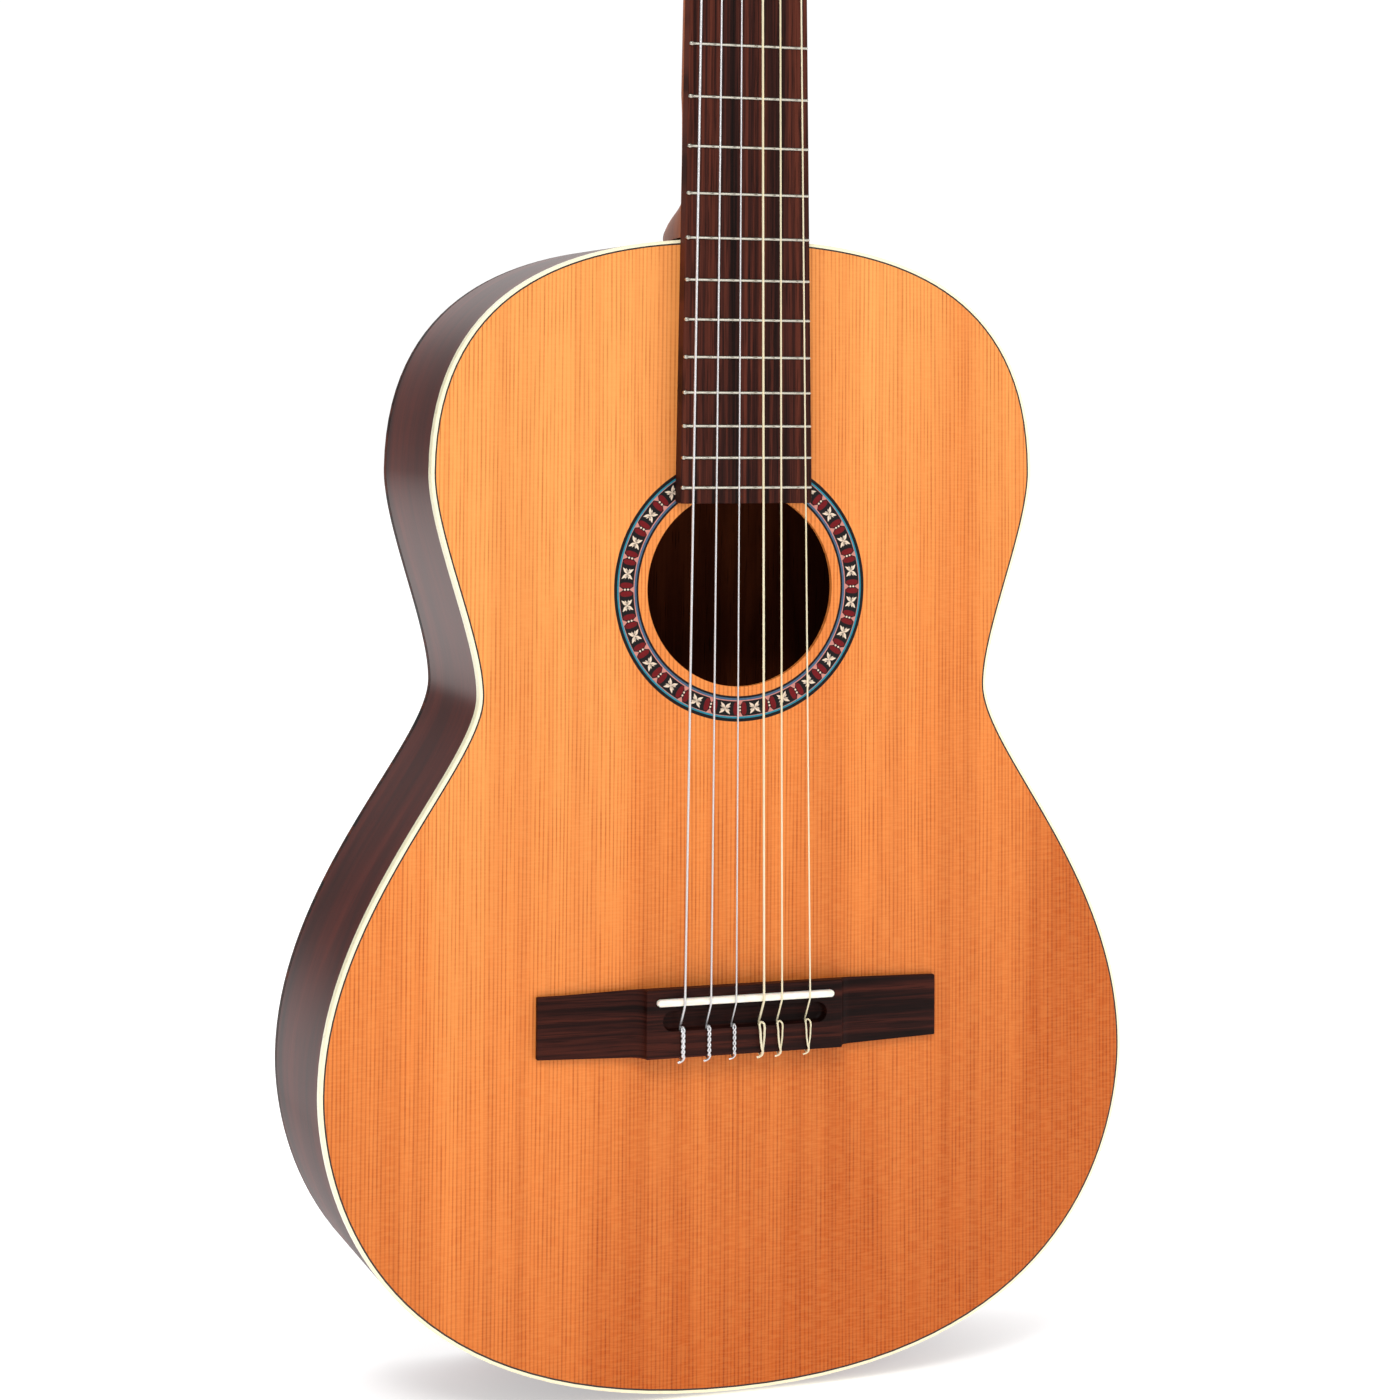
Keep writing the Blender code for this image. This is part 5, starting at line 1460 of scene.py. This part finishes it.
def soft_light(name, place_at, size, power):
    """A square area lamp aimed at the middle of the body."""
    lamp = bpy.data.lights.new(name, "AREA")
    lamp.shape = "RECTANGLE"
    lamp.size = lamp.size_y = size
    lamp.energy = power
    made = placed(name, lamp)
    made.location = place_at
    made.rotation_mode = "QUATERNION"
    made.rotation_quaternion = (LIT_AT - Vector(place_at)).to_track_quat("-Z", "Y")


def make_light():
    """A white studio round the guitar, darker behind its bass side, with two soft lamps in front."""
    world = bpy.data.worlds.new("studio")
    world.use_nodes = True
    tree = world.node_tree
    background = tree.nodes["Background"]
    towards = tree.nodes.new("ShaderNodeTexCoord").outputs["Generated"]

    def faded(source, *limits):
        """A smooth step between two input values, from one output value to another."""
        node = tree.nodes.new("ShaderNodeMapRange")
        node.interpolation_type = "SMOOTHSTEP"
        tree.links.new(source, node.inputs["Value"])
        for socket, value in zip(node.inputs[1:5], limits):
            socket.default_value = value
        return node.outputs["Result"]

    dot = tree.nodes.new("ShaderNodeVectorMath")
    dot.operation = "DOT_PRODUCT"
    tree.links.new(towards, dot.inputs[0])
    dot.inputs[1].default_value = Vector(DARK_TOWARDS).normalized()
    split = tree.nodes.new("ShaderNodeSeparateXYZ")
    tree.links.new(towards, split.inputs[0])
    both = tree.nodes.new("ShaderNodeMath")
    both.operation = "MULTIPLY"
    sky = faded(dot.outputs["Value"], DARK_FROM, DARK_FULL, SKY, SKY_DARK)
    front = faded(split.outputs["Y"], FRONT_FROM, FRONT_TO, FRONT_SHARE, 1.0)
    tree.links.new(sky, both.inputs[0])
    tree.links.new(front, both.inputs[1])
    tree.links.new(both.outputs[0], background.inputs["Strength"])
    background.inputs["Color"].default_value = (1, 1, 1, 1)
    bpy.context.scene.world = world
    bpy.context.scene.view_settings.view_transform = "Standard"
    soft_light("key", (-0.9, -1.9, 1.5), 0.9, KEY_POWER)
    soft_light("fill", (1.9, -2.1, 0.5), 1.2, FILL_POWER)


def make_camera():
    """The camera stands in front and a little to the bass side, level with the upper bout."""
    lens = bpy.data.cameras.new("camera")
    lens.sensor_width = 36
    lens.lens = CAMERA_LENS
    lens.shift_x, lens.shift_y = CAMERA_SHIFT
    camera = placed("camera", lens)
    camera.matrix_world = axes(CAMERA_RIGHT, CAMERA_UP, CAMERA_AT)
    bpy.context.scene.camera = camera


make_soundboard()
make_bindings()
make_sides()
make_back()
make_rosette()
make_neck()
make_fingerboard()
make_nut()
make_bridge()
make_strings()
make_tuners()
dress_inside()
make_stage()
make_light()
make_camera()
